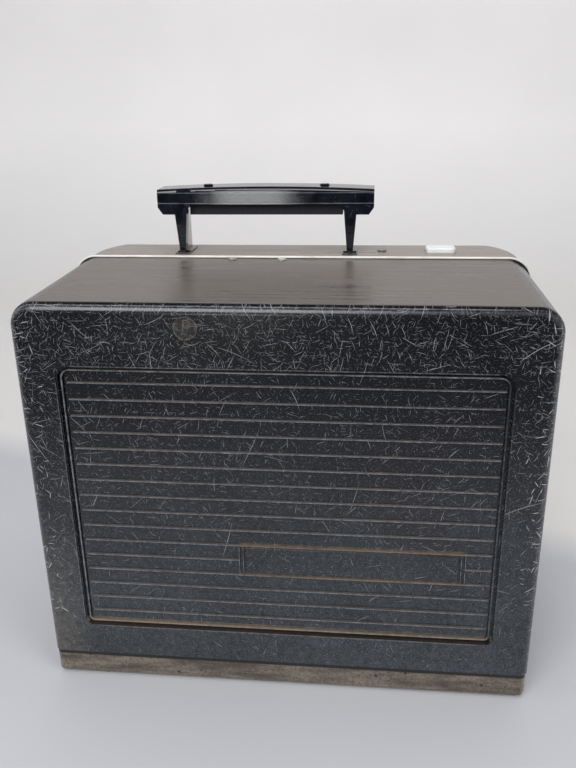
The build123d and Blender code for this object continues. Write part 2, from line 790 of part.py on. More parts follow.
# Lens barrel with its knurled front ring and glass seats
lens_end = lens_back + lens_len
with BuildPart() as lens_barrel:
    add(turned_x([(lens_back, 8), (lens_back, lens_r), (lens_end - 16, lens_r), (lens_end - 16, lens_r + 1.6),
                  (lens_end, lens_r + 1.6), (lens_end, lens_r - 1.5), (lens_end - 5, lens_r - 3),
                  (lens_end - 12, lens_r - 3), (lens_end - 12, lens_r - 6), (lens_back + 6, 6),
                  (lens_back + 6, 8)],
                 film_y, beam_z))
    with BuildSketch(side_plane(lens_end)):
        with Locations((film_y, beam_z)):
            with PolarLocations(lens_r + 1.6, 16):
                Rectangle(1.2, 1.4)
    extrude(amount=-12, mode=Mode.SUBTRACT)
save(lens_barrel, "lens_barrel")


# A lens: flat towards its seat and bulging the other way
def lens_glass(x_flat, x_top, r, edge):
    with BuildPart() as piece:
        with BuildSketch(Plane(origin=(0, film_y, beam_z), x_dir=(1, 0, 0), z_dir=(0, -1, 0))):
            with BuildLine():
                x_edge = x_flat + edge
                ball_r = ((x_top - x_edge) ** 2 + r ** 2) / (2 * (x_top - x_edge))
                x_mid = x_top - ball_r + copysign(sqrt(ball_r ** 2 - r ** 2 / 4), ball_r)
                Polyline((x_top, 0), (x_flat, 0), (x_flat, r), (x_edge, r))
                ThreePointArc((x_edge, r), (x_mid, r / 2), (x_top, 0))
            make_face()
        revolve(axis=Axis((0, film_y, beam_z), (1, 0, 0)))
    return piece


front_lens = lens_glass(lens_end - 12, lens_end - 4.5, lens_r - 3, 4)
save(front_lens, "front_lens")
rear_lens = lens_glass(lens_back + 6, lens_back + 1.5, 8, -2)
save(rear_lens, "rear_lens")

# Focus knob, its shaft just under the lens
focus_knob = knob(focus_x, focus_z, 11, carrier_y0 - 14, carrier_y0 - 1, focus_shaft_r, film_y, 18)
save(focus_knob, "focus_knob")

# Lamp house: a pull-off sheet box, open at the back, with louvres and the light's way out
with BuildPart() as lamp_house:
    house_back = deck_front - gap
    with BuildSketch(front_plane(house_back)) as house_section:
        add(limits(house_left, house_right, house_low, house_high))
        fillet(house_section.vertices(), 7)
    extrude(amount=house_back - house_front)
    fillet(lamp_house.faces().sort_by(Axis.Y)[0].edges(), 3)
    with BuildSketch(front_plane(house_back)) as house_hollow:
        add(limits(house_left + sheet, house_right - sheet, house_low + sheet, house_high - sheet))
        fillet(house_hollow.vertices(), 7 - sheet)
    extrude(amount=house_back - house_front - sheet, mode=Mode.SUBTRACT)
    with BuildSketch(side_plane(house_right)):
        with Locations((film_y, beam_z)):
            Circle(9)
    extrude(amount=-2 * sheet, mode=Mode.SUBTRACT)
    with BuildSketch(front_plane(house_front)):
        with Locations(((house_left + house_right) / 2, beam_z)):
            with GridLocations(0, 8, 1, 7):
                Rectangle(36, 3)
    extrude(amount=-2 * sheet, mode=Mode.SUBTRACT)
    with BuildSketch(level(house_high)):
        with Locations(((house_left + house_right) / 2, (house_front + house_back) / 2)):
            with GridLocations(8, 0, 5, 1):
                Rectangle(3, 40)
    extrude(amount=-2 * sheet, mode=Mode.SUBTRACT)
save(lamp_house, "lamp_house")

# Lamp: a reflector lamp that faces the gate
with BuildPart() as lamp:
    back = reflector_rim - 22
    add(turned_x([(reflector_rim, reflector_r - 1.4), (reflector_rim, reflector_r), (back + 8, 14), (back, 6),
                  (back - 9, 6), (back - 9, 0), (back + 16, 0), (back + 14, 4), (back + 2, 4), (back + 2, 5.4),
                  (back + 9.4, 12.6)], film_y, beam_z))
save(lamp, "lamp")

# Lamp socket on its bent bracket from the deck
with BuildPart() as lamp_socket:
    socket_x = back - 9
    add(block(socket_x - 6, socket_x, film_y - 7, film_y + 7, beam_z - 7, beam_z + 7))
    add(block(socket_x - 6, socket_x - 3, film_y + 7, deck_front, beam_z - 9, beam_z + 9))
    fillet(lamp_socket.edges().filter_by(Axis.X).group_by(Axis.Y)[0], 2)
save(lamp_socket, "lamp_socket")

# Main shaft with both worms, the belt pulley and the claw's cam
with BuildPart() as main_shaft:
    add(rod_x(takeup_x - 18, drive_x + 18, shaft_y, beam_z, shaft_r))
    worm_lead = 2 * pi * wheel_tip_r / wheel_teeth
    for x in (takeup_x, drive_x):
        x0 = x - 1.5 * worm_lead
        ring = [(x0, 0)]
        for i in range(3):
            s = x0 + i * worm_lead
            ring += [(s, worm_r - 2.4), (s + worm_lead * 0.5, worm_r)]
        ring += [(x0 + 3 * worm_lead, worm_r - 2.4), (x0 + 3 * worm_lead, 0)]
        add(turned_x(ring, shaft_y, beam_z))
    add(turned_x([(belt_x - 4, 0), (belt_x - 4, main_pulley_r + 2), (belt_x - 2, main_pulley_r),
                  (belt_x + 2, main_pulley_r), (belt_x + 4, main_pulley_r + 2), (belt_x + 4, 0)],
                 shaft_y, beam_z))
    with BuildSketch(side_plane(53.5)):
        with Locations((shaft_y, beam_z + 1.6)):
            Circle(6)
    extrude(amount=9)
save(main_shaft, "main_shaft")

# Shutter: three blades on a hub
with BuildPart() as shutter:
    with BuildSketch(side_plane(shutter_x - shutter_t / 2)):
        with Locations((shaft_y, beam_z)):
            Circle(shutter_r)
    extrude(amount=shutter_t)
    with BuildSketch(side_plane(shutter_x - shutter_t / 2)):
        for k in range(3):
            start = radians(120 * k + 30)
            end = radians(120 * k + 90)
            with BuildLine():
                inner, outer = 14, shutter_r + 5
                corner = [(shaft_y + r * cos(a), beam_z + r * sin(a))
                          for r, a in ((inner, start), (outer * 1.1, start), (outer * 1.1, end), (inner, end))]
                Polyline(*corner, close=True)
            make_face()
    extrude(amount=shutter_t, mode=Mode.SUBTRACT)
    add(rod_x(shutter_x - 4, shutter_x + 4, shaft_y, beam_z, 7))
    add(rod_x(shutter_x - 5, shutter_x + 5, shaft_y, beam_z, shaft_r), mode=Mode.SUBTRACT)
save(shutter, "shutter")

# Bearing blocks behind the deck, and the brass bushes in them
bearing_xs = ((-66.0, -56.0), (64.0, 73.0))
bearing_lows = (10.0, 20.0)
bush_r = 5.5
with BuildPart() as bearing_blocks:
    for (x0, x1), low in zip(bearing_xs, bearing_lows):
        with BuildSketch(side_plane(x0)) as ear:
            add(limits(deck_back, shaft_y + 10, beam_z - low, beam_z + 12))
            fillet(ear.vertices().group_by(Axis.X)[-1], 6)
            with Locations((shaft_y, beam_z)):
                Circle(bush_r, mode=Mode.SUBTRACT)
        extrude(amount=x1 - x0)
save(bearing_blocks, "bearing_blocks")
with BuildPart() as shaft_bushes:
    for x0, x1 in bearing_xs:
        add(turned_x([(x0 - 1, shaft_r + running), (x0 - 1, bush_r), (x1, bush_r), (x1, shaft_r + running)],
                     shaft_y, beam_z))
save(shaft_bushes, "shaft_bushes")

# Claw: a lever on a pin in the right block, reaching the film through deck and gate
with BuildPart() as claw:
    with BuildSketch(side_plane(57.0)):
        with BuildLine():
            Polyline((shaft_y + 7, 117.5), (shaft_y + 7, 121.5), (shaft_y + 2, 123.5), (8, 126.5),
                     (film_y - 3, 126.5), (film_y - 3, 123.5), (8, 123.5), (shaft_y, 119), (shaft_y, 117.5),
                     close=True)
        make_face()
    extrude(amount=1.5)
    add(block(58.5, gate_x + 0.3, film_y - 3, film_y - 1.6, 124.2, 125.8))
    add(rod_x(57.0, bearing_xs[1][0], shaft_y + 4.5, 119.5, 1.5))
save(claw, "claw")


# A worm wheel: straight teeth round a rim, its bore on the shaft
def worm_wheel(x, z, bore):
    with BuildPart() as piece:
        with BuildSketch(front_plane(shaft_y + wheel_t / 2)):
            with Locations((x, z)):
                Circle(wheel_root_r)
                with PolarLocations(wheel_root_r - 0.5, wheel_teeth):
                    Trapezoid(4.4, wheel_tip_r - wheel_root_r + 0.5, 72, rotation=-90,
                              align=(Align.CENTER, Align.MIN))
                Circle(bore, mode=Mode.SUBTRACT)
        extrude(amount=wheel_t)
        add(turned_y([(shaft_y - 6, bore), (shaft_y - 6, 7), (shaft_y + 6, 7), (shaft_y + 6, bore)], x, z))
    return piece


upper_worm_wheel = worm_wheel(drive_x, upper_z, shaft_r)
save(upper_worm_wheel, "upper_worm_wheel")
lower_worm_wheel = worm_wheel(drive_x, lower_z, shaft_r)
save(lower_worm_wheel, "lower_worm_wheel")
takeup_worm_wheel = worm_wheel(takeup_x, lower_z, spindle_shaft_r)
save(takeup_worm_wheel, "takeup_worm_wheel")


# A sprocket on its shaft: two flanges and a row of teeth
def sprocket(x, z):
    y0 = film_y - sprocket_w / 2
    y1 = film_y + sprocket_w / 2
    with BuildPart() as piece:
        add(turned_y([(y0, 0), (y0, sprocket_r), (y0 + 1.5, sprocket_r), (y0 + 2.5, sprocket_r - 1.2),
                      (y1 - 2.5, sprocket_r - 1.2), (y1 - 1.5, sprocket_r), (y1, sprocket_r),
                      (y1 + 1, shaft_r + 1), (deck_front - gap, shaft_r + 1), (deck_front - gap, shaft_r),
                      (shaft_y + 8, shaft_r), (shaft_y + 8, 0)], x, z))
        with BuildSketch(front_plane(y0 + 1.5)):
            with Locations((x, z)):
                with PolarLocations(sprocket_r - 0.3, 12):
                    Rectangle(1.8, 1.0)
        extrude(amount=1)
    return piece


upper_sprocket = sprocket(drive_x, upper_z)
save(upper_sprocket, "upper_sprocket")
lower_sprocket = sprocket(drive_x, lower_z)
save(lower_sprocket, "lower_sprocket")

# Guide shoes: hold the film to each sprocket
with BuildPart() as guide_shoes:
    shoe_in = sprocket_r + 1.6
    shoe_out = shoe_in + 4
    for z, way in ((upper_z, 1), (lower_z, -1)):
        with BuildSketch(front_plane(deck_front)):
            with Locations((drive_x, z)):
                Circle(shoe_out)
                Circle(shoe_in, mode=Mode.SUBTRACT)
            away, near = z - way * 20, z + way * 3
            add(limits(drive_x - 20, drive_x + 20, min(away, near), max(away, near)), mode=Mode.SUBTRACT)
        extrude(amount=deck_front - film_y + sprocket_w / 2)
save(guide_shoes, "guide_shoes")

# Take-up spindle and the empty reel on it
reel_y0 = film_y - reel_w / 2
reel_y1 = film_y + reel_w / 2
with BuildPart() as takeup_spindle:
    add(turned_y([(reel_y0 - 6, 0), (reel_y0 - 6, spindle_r - 1.5), (reel_y0 - 4.5, spindle_r),
                  (reel_y1 + 0.5, spindle_r), (reel_y1 + 0.5, 11), (reel_y1 + 4, 11),
                  (reel_y1 + 6, spindle_shaft_r + 2),
                  (deck_front - gap, spindle_shaft_r + 2), (deck_front - gap, spindle_shaft_r),
                  (shaft_y + 8, spindle_shaft_r), (shaft_y + 8, 0)], takeup_x, lower_z))
save(takeup_spindle, "takeup_spindle")
with BuildPart() as takeup_reel:
    flange_t = 1.3
    hub_r = 30.0
    for y in (reel_y0 + flange_t, reel_y1):
        with BuildSketch(front_plane(y)):
            with Locations((takeup_x, lower_z)):
                Circle(reel_r)
                with PolarLocations((hub_r + reel_r) / 2, 3, start_angle=90):
                    SlotOverall(34, 18, rotation=90, mode=Mode.SUBTRACT)
                Circle(hub_r - 6, mode=Mode.SUBTRACT)
        extrude(amount=flange_t)
    with BuildSketch(front_plane(reel_y1)):
        with Locations((takeup_x, lower_z)):
            Circle(hub_r)
            Circle(hub_r - 2, mode=Mode.SUBTRACT)
    extrude(amount=reel_w)
    with BuildSketch(front_plane(film_y + 2)):
        with Locations((takeup_x, lower_z)):
            Circle(hub_r - 1)
            Circle(spindle_r + 0.1, mode=Mode.SUBTRACT)
            with PolarLocations(18, 3):
                Circle(6, mode=Mode.SUBTRACT)
    extrude(amount=4)
    with BuildSketch(front_plane(reel_y1)):
        with Locations((takeup_x, lower_z)):
            Circle(10)
            Circle(spindle_r + 0.1, mode=Mode.SUBTRACT)
    extrude(amount=reel_w)
save(takeup_reel, "takeup_reel")

# Feed arm: folded away over the lamp house, its pin through the deck
arm_y0 = 10.0
arm_y1 = 15.0
with BuildPart() as feed_arm:
    with BuildSketch(front_plane(arm_y1)):
        with BuildLine():
            CenterArc((arm_x, arm_z), 12, 0, 360)
            CenterArc((tip_x, tip_z), 9, 0, 360)
        make_hull()
        with Locations((tip_x, tip_z)):
            Circle(shaft_r + running, mode=Mode.SUBTRACT)
    extrude(amount=arm_y1 - arm_y0)
    chamfer(feed_arm.faces().sort_by(Axis.Y)[0].outer_wire().edges(), 0.8)
    add(turned_y([(arm_y0, 0), (arm_y0, 8), (deck_front - gap, 8), (deck_front - gap, arm_pin_r),
                  (deck_back + boss_h + 2, arm_pin_r), (deck_back + boss_h + 2, 0)], arm_x, arm_z))
save(feed_arm, "feed_arm")

# Feed spindle, free to turn in the arm's tip
feed_y0 = -12.0
feed_y1 = 4.0
with BuildPart() as feed_spindle:
    add(turned_y([(feed_y0 - 1.5, 0), (feed_y0 - 1.5, spindle_r - 1.5), (feed_y0, spindle_r),
                  (feed_y1, spindle_r), (feed_y1, 10.5), (feed_y1 + 3, 10.5), (arm_y0 - gap, 6),
                  (arm_y0 - gap, shaft_r), (arm_y1 + gap, shaft_r), (arm_y1 + gap, 5), (arm_y1 + 2, 5),
                  (arm_y1 + 2, 0)], tip_x, tip_z))
save(feed_spindle, "feed_spindle")

# Motor: a round can with stepped ends
with BuildPart() as motor:
    m0 = motor_left
    m1 = motor_left + motor_len
    bearing_r = 9.0
    add(turned_x([(m0, shaft_r + gap), (m0, bearing_r), (m0 + 4, bearing_r), (m0 + 4, motor_r - 3),
                  (m0 + 7, motor_r), (m1 - 7, motor_r), (m1 - 4, motor_r - 3), (m1 - 4, bearing_r),
                  (m1, bearing_r), (m1, shaft_r + gap)], motor_y, motor_z))
    with BuildSketch(side_plane(m0 + 4)):
        with Locations((motor_y, motor_z)):
            with PolarLocations(16, 6):
                Rectangle(7, 3)
    extrude(amount=3, mode=Mode.SUBTRACT)
save(motor, "motor")

# Motor cradle: two saddles on the tray's floor
with BuildPart() as motor_cradle:
    for x0 in (motor_left + 12, motor_left + motor_len - 16):
        with BuildSketch(side_plane(x0)):
            add(limits(motor_y - 22, motor_y + 22, tray_inside, motor_z - 10))
            with Locations((motor_y, motor_z)):
                Circle(motor_r, mode=Mode.SUBTRACT)
        extrude(amount=4)
save(motor_cradle, "motor_cradle")

# Motor shaft with its small pulley
with BuildPart() as motor_shaft:
    p = motor_pulley_r
    add(turned_x([(belt_x - 6, 0), (belt_x - 6, p + 2), (belt_x - 4, p + 2), (belt_x - 2, p),
                  (belt_x + 2, p), (belt_x + 4, p + 2), (belt_x + 4, shaft_r), (m1 + 4, shaft_r),
                  (m1 + 4, 0)], motor_y, motor_z))
save(motor_shaft, "motor_shaft")

# Fan wheel: a ring of blades between a back disc and a rim
with BuildPart() as fan_wheel:
    with BuildSketch(side_plane(fan_left + fan_w - 2.5)):
        with Locations((motor_y, motor_z)):
            Circle(fan_r)
            Circle(shaft_r, mode=Mode.SUBTRACT)
    extrude(amount=1.5)
    with BuildSketch(side_plane(fan_left + 1)):
        with Locations((motor_y, motor_z)):
            Circle(fan_r)
            Circle(fan_r - 7, mode=Mode.SUBTRACT)
    extrude(amount=1.2)
    with BuildSketch(side_plane(fan_left + 1)):
        with Locations((motor_y, motor_z)):
            with PolarLocations(fan_r - 3.7, 16):
                Rectangle(6, 1, rotation=35)
    extrude(amount=fan_w - 2.5)
    add(turned_x([(fan_left + 8, shaft_r), (fan_left + 8, 8), (fan_left + fan_w - 1, 8),
                  (fan_left + fan_w - 1, shaft_r)], motor_y, motor_z))
save(fan_wheel, "fan_wheel")

# Fan scroll: a drum round the fan, with a duct up to the lamp house's window in the deck
with BuildPart() as fan_scroll:
    s0 = fan_left - 3
    s1 = fan_left + fan_w + 3
    scroll_r = fan_r + 4
    duct_top = house_low + 22
    duct_back = motor_y - 4
    with BuildSketch(side_plane(s0)):
        with Locations((motor_y, motor_z)):
            Circle(scroll_r)
        add(limits(deck_back, duct_back, motor_z + 14, duct_top))
    extrude(amount=s1 - s0)
    with BuildSketch(side_plane(s0 + 2)):
        with Locations((motor_y, motor_z)):
            Circle(scroll_r - 2)
        add(limits(deck_back + 2, duct_back - 2, motor_z + 14, duct_top - 2))
    extrude(amount=s1 - s0 - 4, mode=Mode.SUBTRACT)
    with BuildSketch(front_plane(deck_back + 2)):
        add(limits(fan_left, fan_left + fan_w, house_low + 3, house_low + 19))
    extrude(amount=2, mode=Mode.SUBTRACT)
    with BuildSketch(side_plane(s0)):
        with Locations((motor_y, motor_z)):
            Circle(18)
    extrude(amount=s1 - s0, mode=Mode.SUBTRACT)
save(fan_scroll, "fan_scroll")


# The belt's outline round both pulleys, at a distance off their grooves
def belt_outline(off):
    with BuildSketch() as outline:
        with BuildLine():
            CenterArc((shaft_y, beam_z), main_pulley_r + off, 0, 360)
            CenterArc((motor_y, motor_z), motor_pulley_r + off, 0, 360)
        make_hull()
    return outline.sketch


with BuildPart() as drive_belt:
    with BuildSketch(side_plane(belt_x - 1.5)):
        add(belt_outline(gap + 1.8))
        add(belt_outline(gap), mode=Mode.SUBTRACT)
    extrude(amount=3)
save(drive_belt, "drive_belt")

# Transformer: a laminated core with its coil
core_x = -117.0
core_y = 60.0
core_w = 50.0
core_h = 54.0
core_t = 26.0
with BuildPart() as transformer_core:
    with BuildSketch(side_plane(core_x - core_t / 2)):
        add(limits(core_y - core_w / 2, core_y + core_w / 2, tray_inside, tray_inside + core_h))
        for side in (-1, 1):
            with Locations((core_y + side * core_w / 4, tray_inside + core_h / 2)):
                Rectangle(core_w / 4, core_h - 18, mode=Mode.SUBTRACT)
    extrude(amount=core_t)
save(transformer_core, "transformer_core")
with BuildPart() as transformer_coil:
    with BuildSketch(level(tray_inside + 9 + gap)) as coil_plan:
        with Locations((core_x, core_y)):
            Rectangle(core_t + 20, core_w * 0.75 - 2 * gap)
        fillet(coil_plan.vertices(), 5)
        with Locations((core_x, core_y)):
            Rectangle(core_t + 2 * gap, core_w / 4 + 2 * gap, mode=Mode.SUBTRACT)
    extrude(amount=core_h - 18 - 2 * gap)
save(transformer_coil, "transformer_coil")

# Power inlet: a socket in the housing's back, with two pins
with BuildPart() as power_inlet:
    inlet_y0 = back_y - 22
    add(block(inlet_x - inlet_w / 2 - 3, inlet_x + inlet_w / 2 + 3, back_y - wall - 2, back_y - wall,
              inlet_z - inlet_h / 2 - 3, inlet_z + inlet_h / 2 + 3))
    add(block(inlet_x - inlet_w / 2, inlet_x + inlet_w / 2, inlet_y0, back_y - 0.5,
              inlet_z - inlet_h / 2, inlet_z + inlet_h / 2))
    with BuildSketch(front_plane(back_y)):
        with Locations((inlet_x, inlet_z)):
            RectangleRounded(inlet_w - 4, inlet_h - 4, 4)
    extrude(amount=back_y - inlet_y0 - 2, mode=Mode.SUBTRACT)
    for side in (-1, 1):
        add(rod_y_axis(inlet_y0 + 1, back_y - 6, inlet_x + side * 5, inlet_z, 1.2))
save(power_inlet, "power_inlet")

# Control plate on the deck, with its knobs and switch
control_y = deck_front - plate_t
selector_x, selector_z = 120.0, 49.0
speed_x, speed_z = 86.0, 60.0
framing_x, framing_z = 86.0, 36.0
switch_x, switch_z = 66.0, 49.0
knob_shaft_r = 3.0
switch_w = 10.0
switch_h = 18.0
with BuildPart() as control_plate:
    with BuildSketch(front_plane(deck_front)) as plate_outline:
        add(limits(plate_left, plate_right, plate_low, plate_high))
        fillet(plate_outline.vertices(), 6)
    extrude(amount=plate_t)
    chamfer(control_plate.faces().sort_by(Axis.Y)[0].outer_wire().edges(), 1)
    with BuildSketch(front_plane(control_y)):
        with Locations((selector_x, selector_z), (speed_x, speed_z), (framing_x, framing_z)):
            Circle(knob_shaft_r + running)
        with Locations((switch_x, switch_z)):
            Rectangle(switch_w + 2 * gap, switch_h + 2 * gap)
    extrude(amount=-plate_t, mode=Mode.SUBTRACT)
save(control_plate, "control_plate")
knob_back = control_y - 1
selector_knob = knob(selector_x, selector_z, 15, knob_back - 16, knob_back, knob_shaft_r, deck_front - gap, 20)
save(selector_knob, "selector_knob")
speed_knob = knob(speed_x, speed_z, 9, knob_back - 12, knob_back, knob_shaft_r, deck_front - gap, 14)
save(speed_knob, "speed_knob")
framing_knob = knob(framing_x, framing_z, 9, knob_back - 12, knob_back, knob_shaft_r, deck_front - gap, 14)
save(framing_knob, "framing_knob")

# Rocker switch: a two-sided key that rocks on a line across its middle
with BuildPart() as rocker_switch:
    with BuildSketch(side_plane(switch_x - switch_w / 2)):
        with BuildLine():
            Polyline((control_y + 4, switch_z - 5), (control_y - 1, switch_z - 8),
                     (control_y - 2.2, switch_z - 7.6), (control_y - 1.2, switch_z),
                     (control_y - 2.2, switch_z + 7.6), (control_y - 1, switch_z + 8),
                     (control_y + 4, switch_z + 5), close=True)
        make_face()
    extrude(amount=switch_w)
save(rocker_switch, "rocker_switch")
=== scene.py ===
# %% [markdown]
# This lesson finishes a cased movie projector, shut for carrying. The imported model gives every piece
# at its real size and place, so the work here is light, camera and surfaces. Lengths are in metres.

# %% Load the frame
import math
import bpy
import numpy as np
from mathutils import Matrix, Vector

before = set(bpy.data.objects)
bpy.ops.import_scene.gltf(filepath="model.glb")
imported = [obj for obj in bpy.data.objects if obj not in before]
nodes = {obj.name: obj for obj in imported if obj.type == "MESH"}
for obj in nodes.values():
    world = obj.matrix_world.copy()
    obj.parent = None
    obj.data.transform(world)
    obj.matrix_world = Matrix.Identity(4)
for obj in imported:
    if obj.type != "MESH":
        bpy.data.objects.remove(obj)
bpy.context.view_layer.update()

scene = bpy.context.scene

# %% [markdown]
# The camera is the photograph's: its place, turn and lens were solved from the case's own edges. The
# numbers are the tilt down, the turn to the left and the small roll of a camera held by hand.

# %% Camera
pitch, yaw, roll = 0.36132, -0.10666, -0.01631
camera_place = (0.05078, -0.52174, 0.38078)
lens_mm, near_limit = 36.70, 0.01
ahead = Vector((math.sin(yaw) * math.cos(pitch), math.cos(yaw) * math.cos(pitch), -math.sin(pitch)))
level_right = Vector((math.cos(yaw), -math.sin(yaw), 0))
level_up = level_right.cross(ahead)
right = math.cos(roll) * level_right + math.sin(roll) * level_up
up = -math.sin(roll) * level_right + math.cos(roll) * level_up
turn = Matrix((right, up, -ahead)).transposed().to_4x4()
camera = bpy.data.objects.new("camera", bpy.data.cameras.new("camera"))
scene.collection.objects.link(camera)
camera.matrix_world = Matrix.Translation(camera_place) @ turn
camera.data.lens = lens_mm
camera.data.clip_start = near_limit
scene.camera = camera
print("camera looks", tuple(round(v, 3) for v in ahead))

# %% [markdown]
# A colour is written as it is read on a screen, in hex, and one function makes it linear. Another adds
# any node: a setting is a keyword, and an input is a number, a colour or another node's output.


# %% Helpers for materials
def colour(code):
    """Turns an sRGB hex colour into linear red, green and blue, with an alpha of 1."""
    srgb = np.array([int(code[i:i + 2], 16) for i in (1, 3, 5)]) / 255
    linear = np.where(srgb <= 0.04045, srgb / 12.92, ((srgb + 0.055) / 1.055) ** 2.4)
    return (*linear.tolist(), 1.0)


def set_inputs(tree, node, inputs):
    """Links each input to another node's output, or sets it to a number or a colour."""
    for name, value in inputs.items():
        source = value.outputs[0] if isinstance(value, bpy.types.Node) else value
        if isinstance(source, bpy.types.NodeSocket):
            tree.links.new(source, node.inputs[name])
        else:
            node.inputs[name].default_value = source


def add_node(tree, kind, inputs=None, **settings):
    """Adds one node of any kind, with its settings and its inputs, and gives it back."""
    node = tree.nodes.new(kind)
    for name, value in settings.items():
        setattr(node, name, value)
    set_inputs(tree, node, inputs or {})
    return node


def new_material(name):
    """Makes an empty material. Gives it, its node tree, its shader and its coordinates back."""
    material = bpy.data.materials.new(name)
    material.use_nodes = True
    tree = material.node_tree
    tree.nodes.clear()
    shader = add_node(tree, "ShaderNodeBsdfPrincipled")
    add_node(tree, "ShaderNodeOutputMaterial", {"Surface": shader})
    return material, tree, shader, add_node(tree, "ShaderNodeTexCoord").outputs


def finish_nodes(names, material):
    """Gives a material to CAD nodes, named in one string with spaces between them."""
    for name in names.split():
        slots = nodes[name].data.materials
        slots.clear()
        slots.append(material)


print("a screen's mid grey is linear", round(colour("#808080")[0], 3))

# %% [markdown]
# Wear and dust have places of their own, and a mask says where. It is made of soft steps along an axis
# or along a noise, multiplied together, so four steps make a box with soft sides. Colours are then
# laid over one another through masks, from the plastic outwards.


# %% Masks and layers
def mask(tree, *parts, join="MULTIPLY"):
    """Joins parts into one share. A part is an output, or a soft step (value, start, end, low, high).

    A step is low before its start, high after its end and straight between them. Low and high may be
    left off, and are 0 and 1 then. Parts are multiplied, or joined as another Math operation does.
    """
    total = None
    for part in parts:
        if isinstance(part, tuple):
            value, start, end, low, high = (*part, 0.0, 1.0)[:5]
            inputs = {0: value, 1: start, 2: end, 3: low, 4: high}
            part = add_node(tree, "ShaderNodeMapRange", inputs)
        if total is None:
            total = part
        else:
            total = add_node(tree, "ShaderNodeMath", {0: total, 1: part}, operation=join)
    return total


def lay_over(tree, under, code, *parts):
    """Lays a hex colour over another colour, where the mask made of the parts lets it show."""
    under = colour(under) if isinstance(under, str) else under
    inputs = {"Factor": mask(tree, *parts), 6: under, 7: colour(code)}
    return add_node(tree, "ShaderNodeMix", inputs, data_type="RGBA").outputs[2]


# %% [markdown]
# The scratch pattern is flat, so the face, the sides and the top of the case each read their own two
# axes, picked by which way the surface faces. The same directions tell the rounded edges, where
# plastic and paint are worn first: they face neither along one axis nor far up or down.


# %% Directions
def facing(tree, normal):
    """Gives three shares, from the normal: how far a place is a side, a level top, a rounded edge."""
    parts = add_node(tree, "ShaderNodeSeparateXYZ", {0: normal}).outputs
    aside, forwards, above = [add_node(tree, "ShaderNodeMath", {0: part}, operation="ABSOLUTE")
                              for part in parts]
    is_side = add_node(tree, "ShaderNodeMath", {0: aside, 1: 0.7}, operation="GREATER_THAN")
    is_above = mask(tree, (parts[2], 0.95, 0.99))
    flattest = mask(tree, aside, forwards, join="MAXIMUM")
    is_edge = mask(tree, (flattest, 0.98, 0.8), (above, 0.68, 0.5))
    return is_side, is_above, is_edge


def flat_axes(tree, axes, is_side, is_above):
    """Picks two object axes: (x, z) in front and behind, (y, z) on a side, (x, y) on top."""
    x, y, z = axes
    flat = add_node(tree, "ShaderNodeCombineXYZ", {"X": x, "Y": z}).outputs[0]
    for there, (u, v) in ((is_side, (y, z)), (is_above, (x, y))):
        pair = add_node(tree, "ShaderNodeCombineXYZ", {"X": u, "Y": v})
        inputs = {"Factor": there, 4: flat, 5: pair}
        flat = add_node(tree, "ShaderNodeMix", inputs, data_type="VECTOR").outputs[1]
    return flat


# %% [markdown]
# Scratches on the case are short, fine and lie in all directions. A mosaic of random cells gives each
# cell one line through its middle, turned by a random angle and a little bowed. Layers of different
# cell sizes make the long and the short ones.


# %% Scratch pattern
def scratches(tree, flat, cell_mm, width_mm, share, shift):
    """One line to a cell, where the distance across is under half its width, in a share of cells.

    The mosaic is moved by shift, in cells, so that no two layers line up.
    """
    grid = add_node(tree, "ShaderNodeVectorMath", {0: flat, "Scale": 1000 / cell_mm},
                    operation="SCALE")
    grid = add_node(tree, "ShaderNodeVectorMath", {0: grid, 1: (shift, 2.3 * shift, 0)})
    cells = add_node(tree, "ShaderNodeTexVoronoi", {"Vector": grid, "Scale": 1.0},
                     voronoi_dimensions="2D").outputs
    chances = add_node(tree, "ShaderNodeSeparateColor", {0: cells["Color"]}).outputs
    for_angle, for_choice, for_bow = chances
    offset = add_node(tree, "ShaderNodeVectorMath", {0: grid, 1: cells["Position"]},
                      operation="SUBTRACT")
    angle = mask(tree, for_angle, 2 * math.pi)
    turned = add_node(tree, "ShaderNodeVectorRotate", {"Vector": offset, "Angle": angle},
                      rotation_type="Z_AXIS")
    along, sideways, _ = add_node(tree, "ShaderNodeSeparateXYZ", {0: turned}).outputs
    bend = mask(tree, (for_bow, 0.0, 1.0, -0.25, 0.25), mask(tree, along, along))
    across = mask(tree, sideways, bend, join="SUBTRACT")
    across, reach = [add_node(tree, "ShaderNodeMath", {0: part}, operation="ABSOLUTE")
                     for part in (across, along)]
    chosen = mask(tree, for_choice, share, join="LESS_THAN")
    half = width_mm / cell_mm / 2
    return mask(tree, (across, half * 0.4, half * 1.6, 1.0, 0.0), (reach, 0.15, 0.5, 1.0, 0.0),
                chosen, (for_bow, 0.0, 1.0, 0.35, 1.0))


# %% [markdown]
# The case is moulded ABS, blue-black and glossy where it is clean: its top mirrors the backdrop at a
# low angle, which is why it looks grey-brown. Its finish is built over the next cells, starting with
# the patterns they share. A noise scale is the number of spots to a metre, so 22 makes clouds of
# 45 mm and 260 makes rubbed spots of 4 mm. The streaks of the top are drawn out sideways to 80 mm.

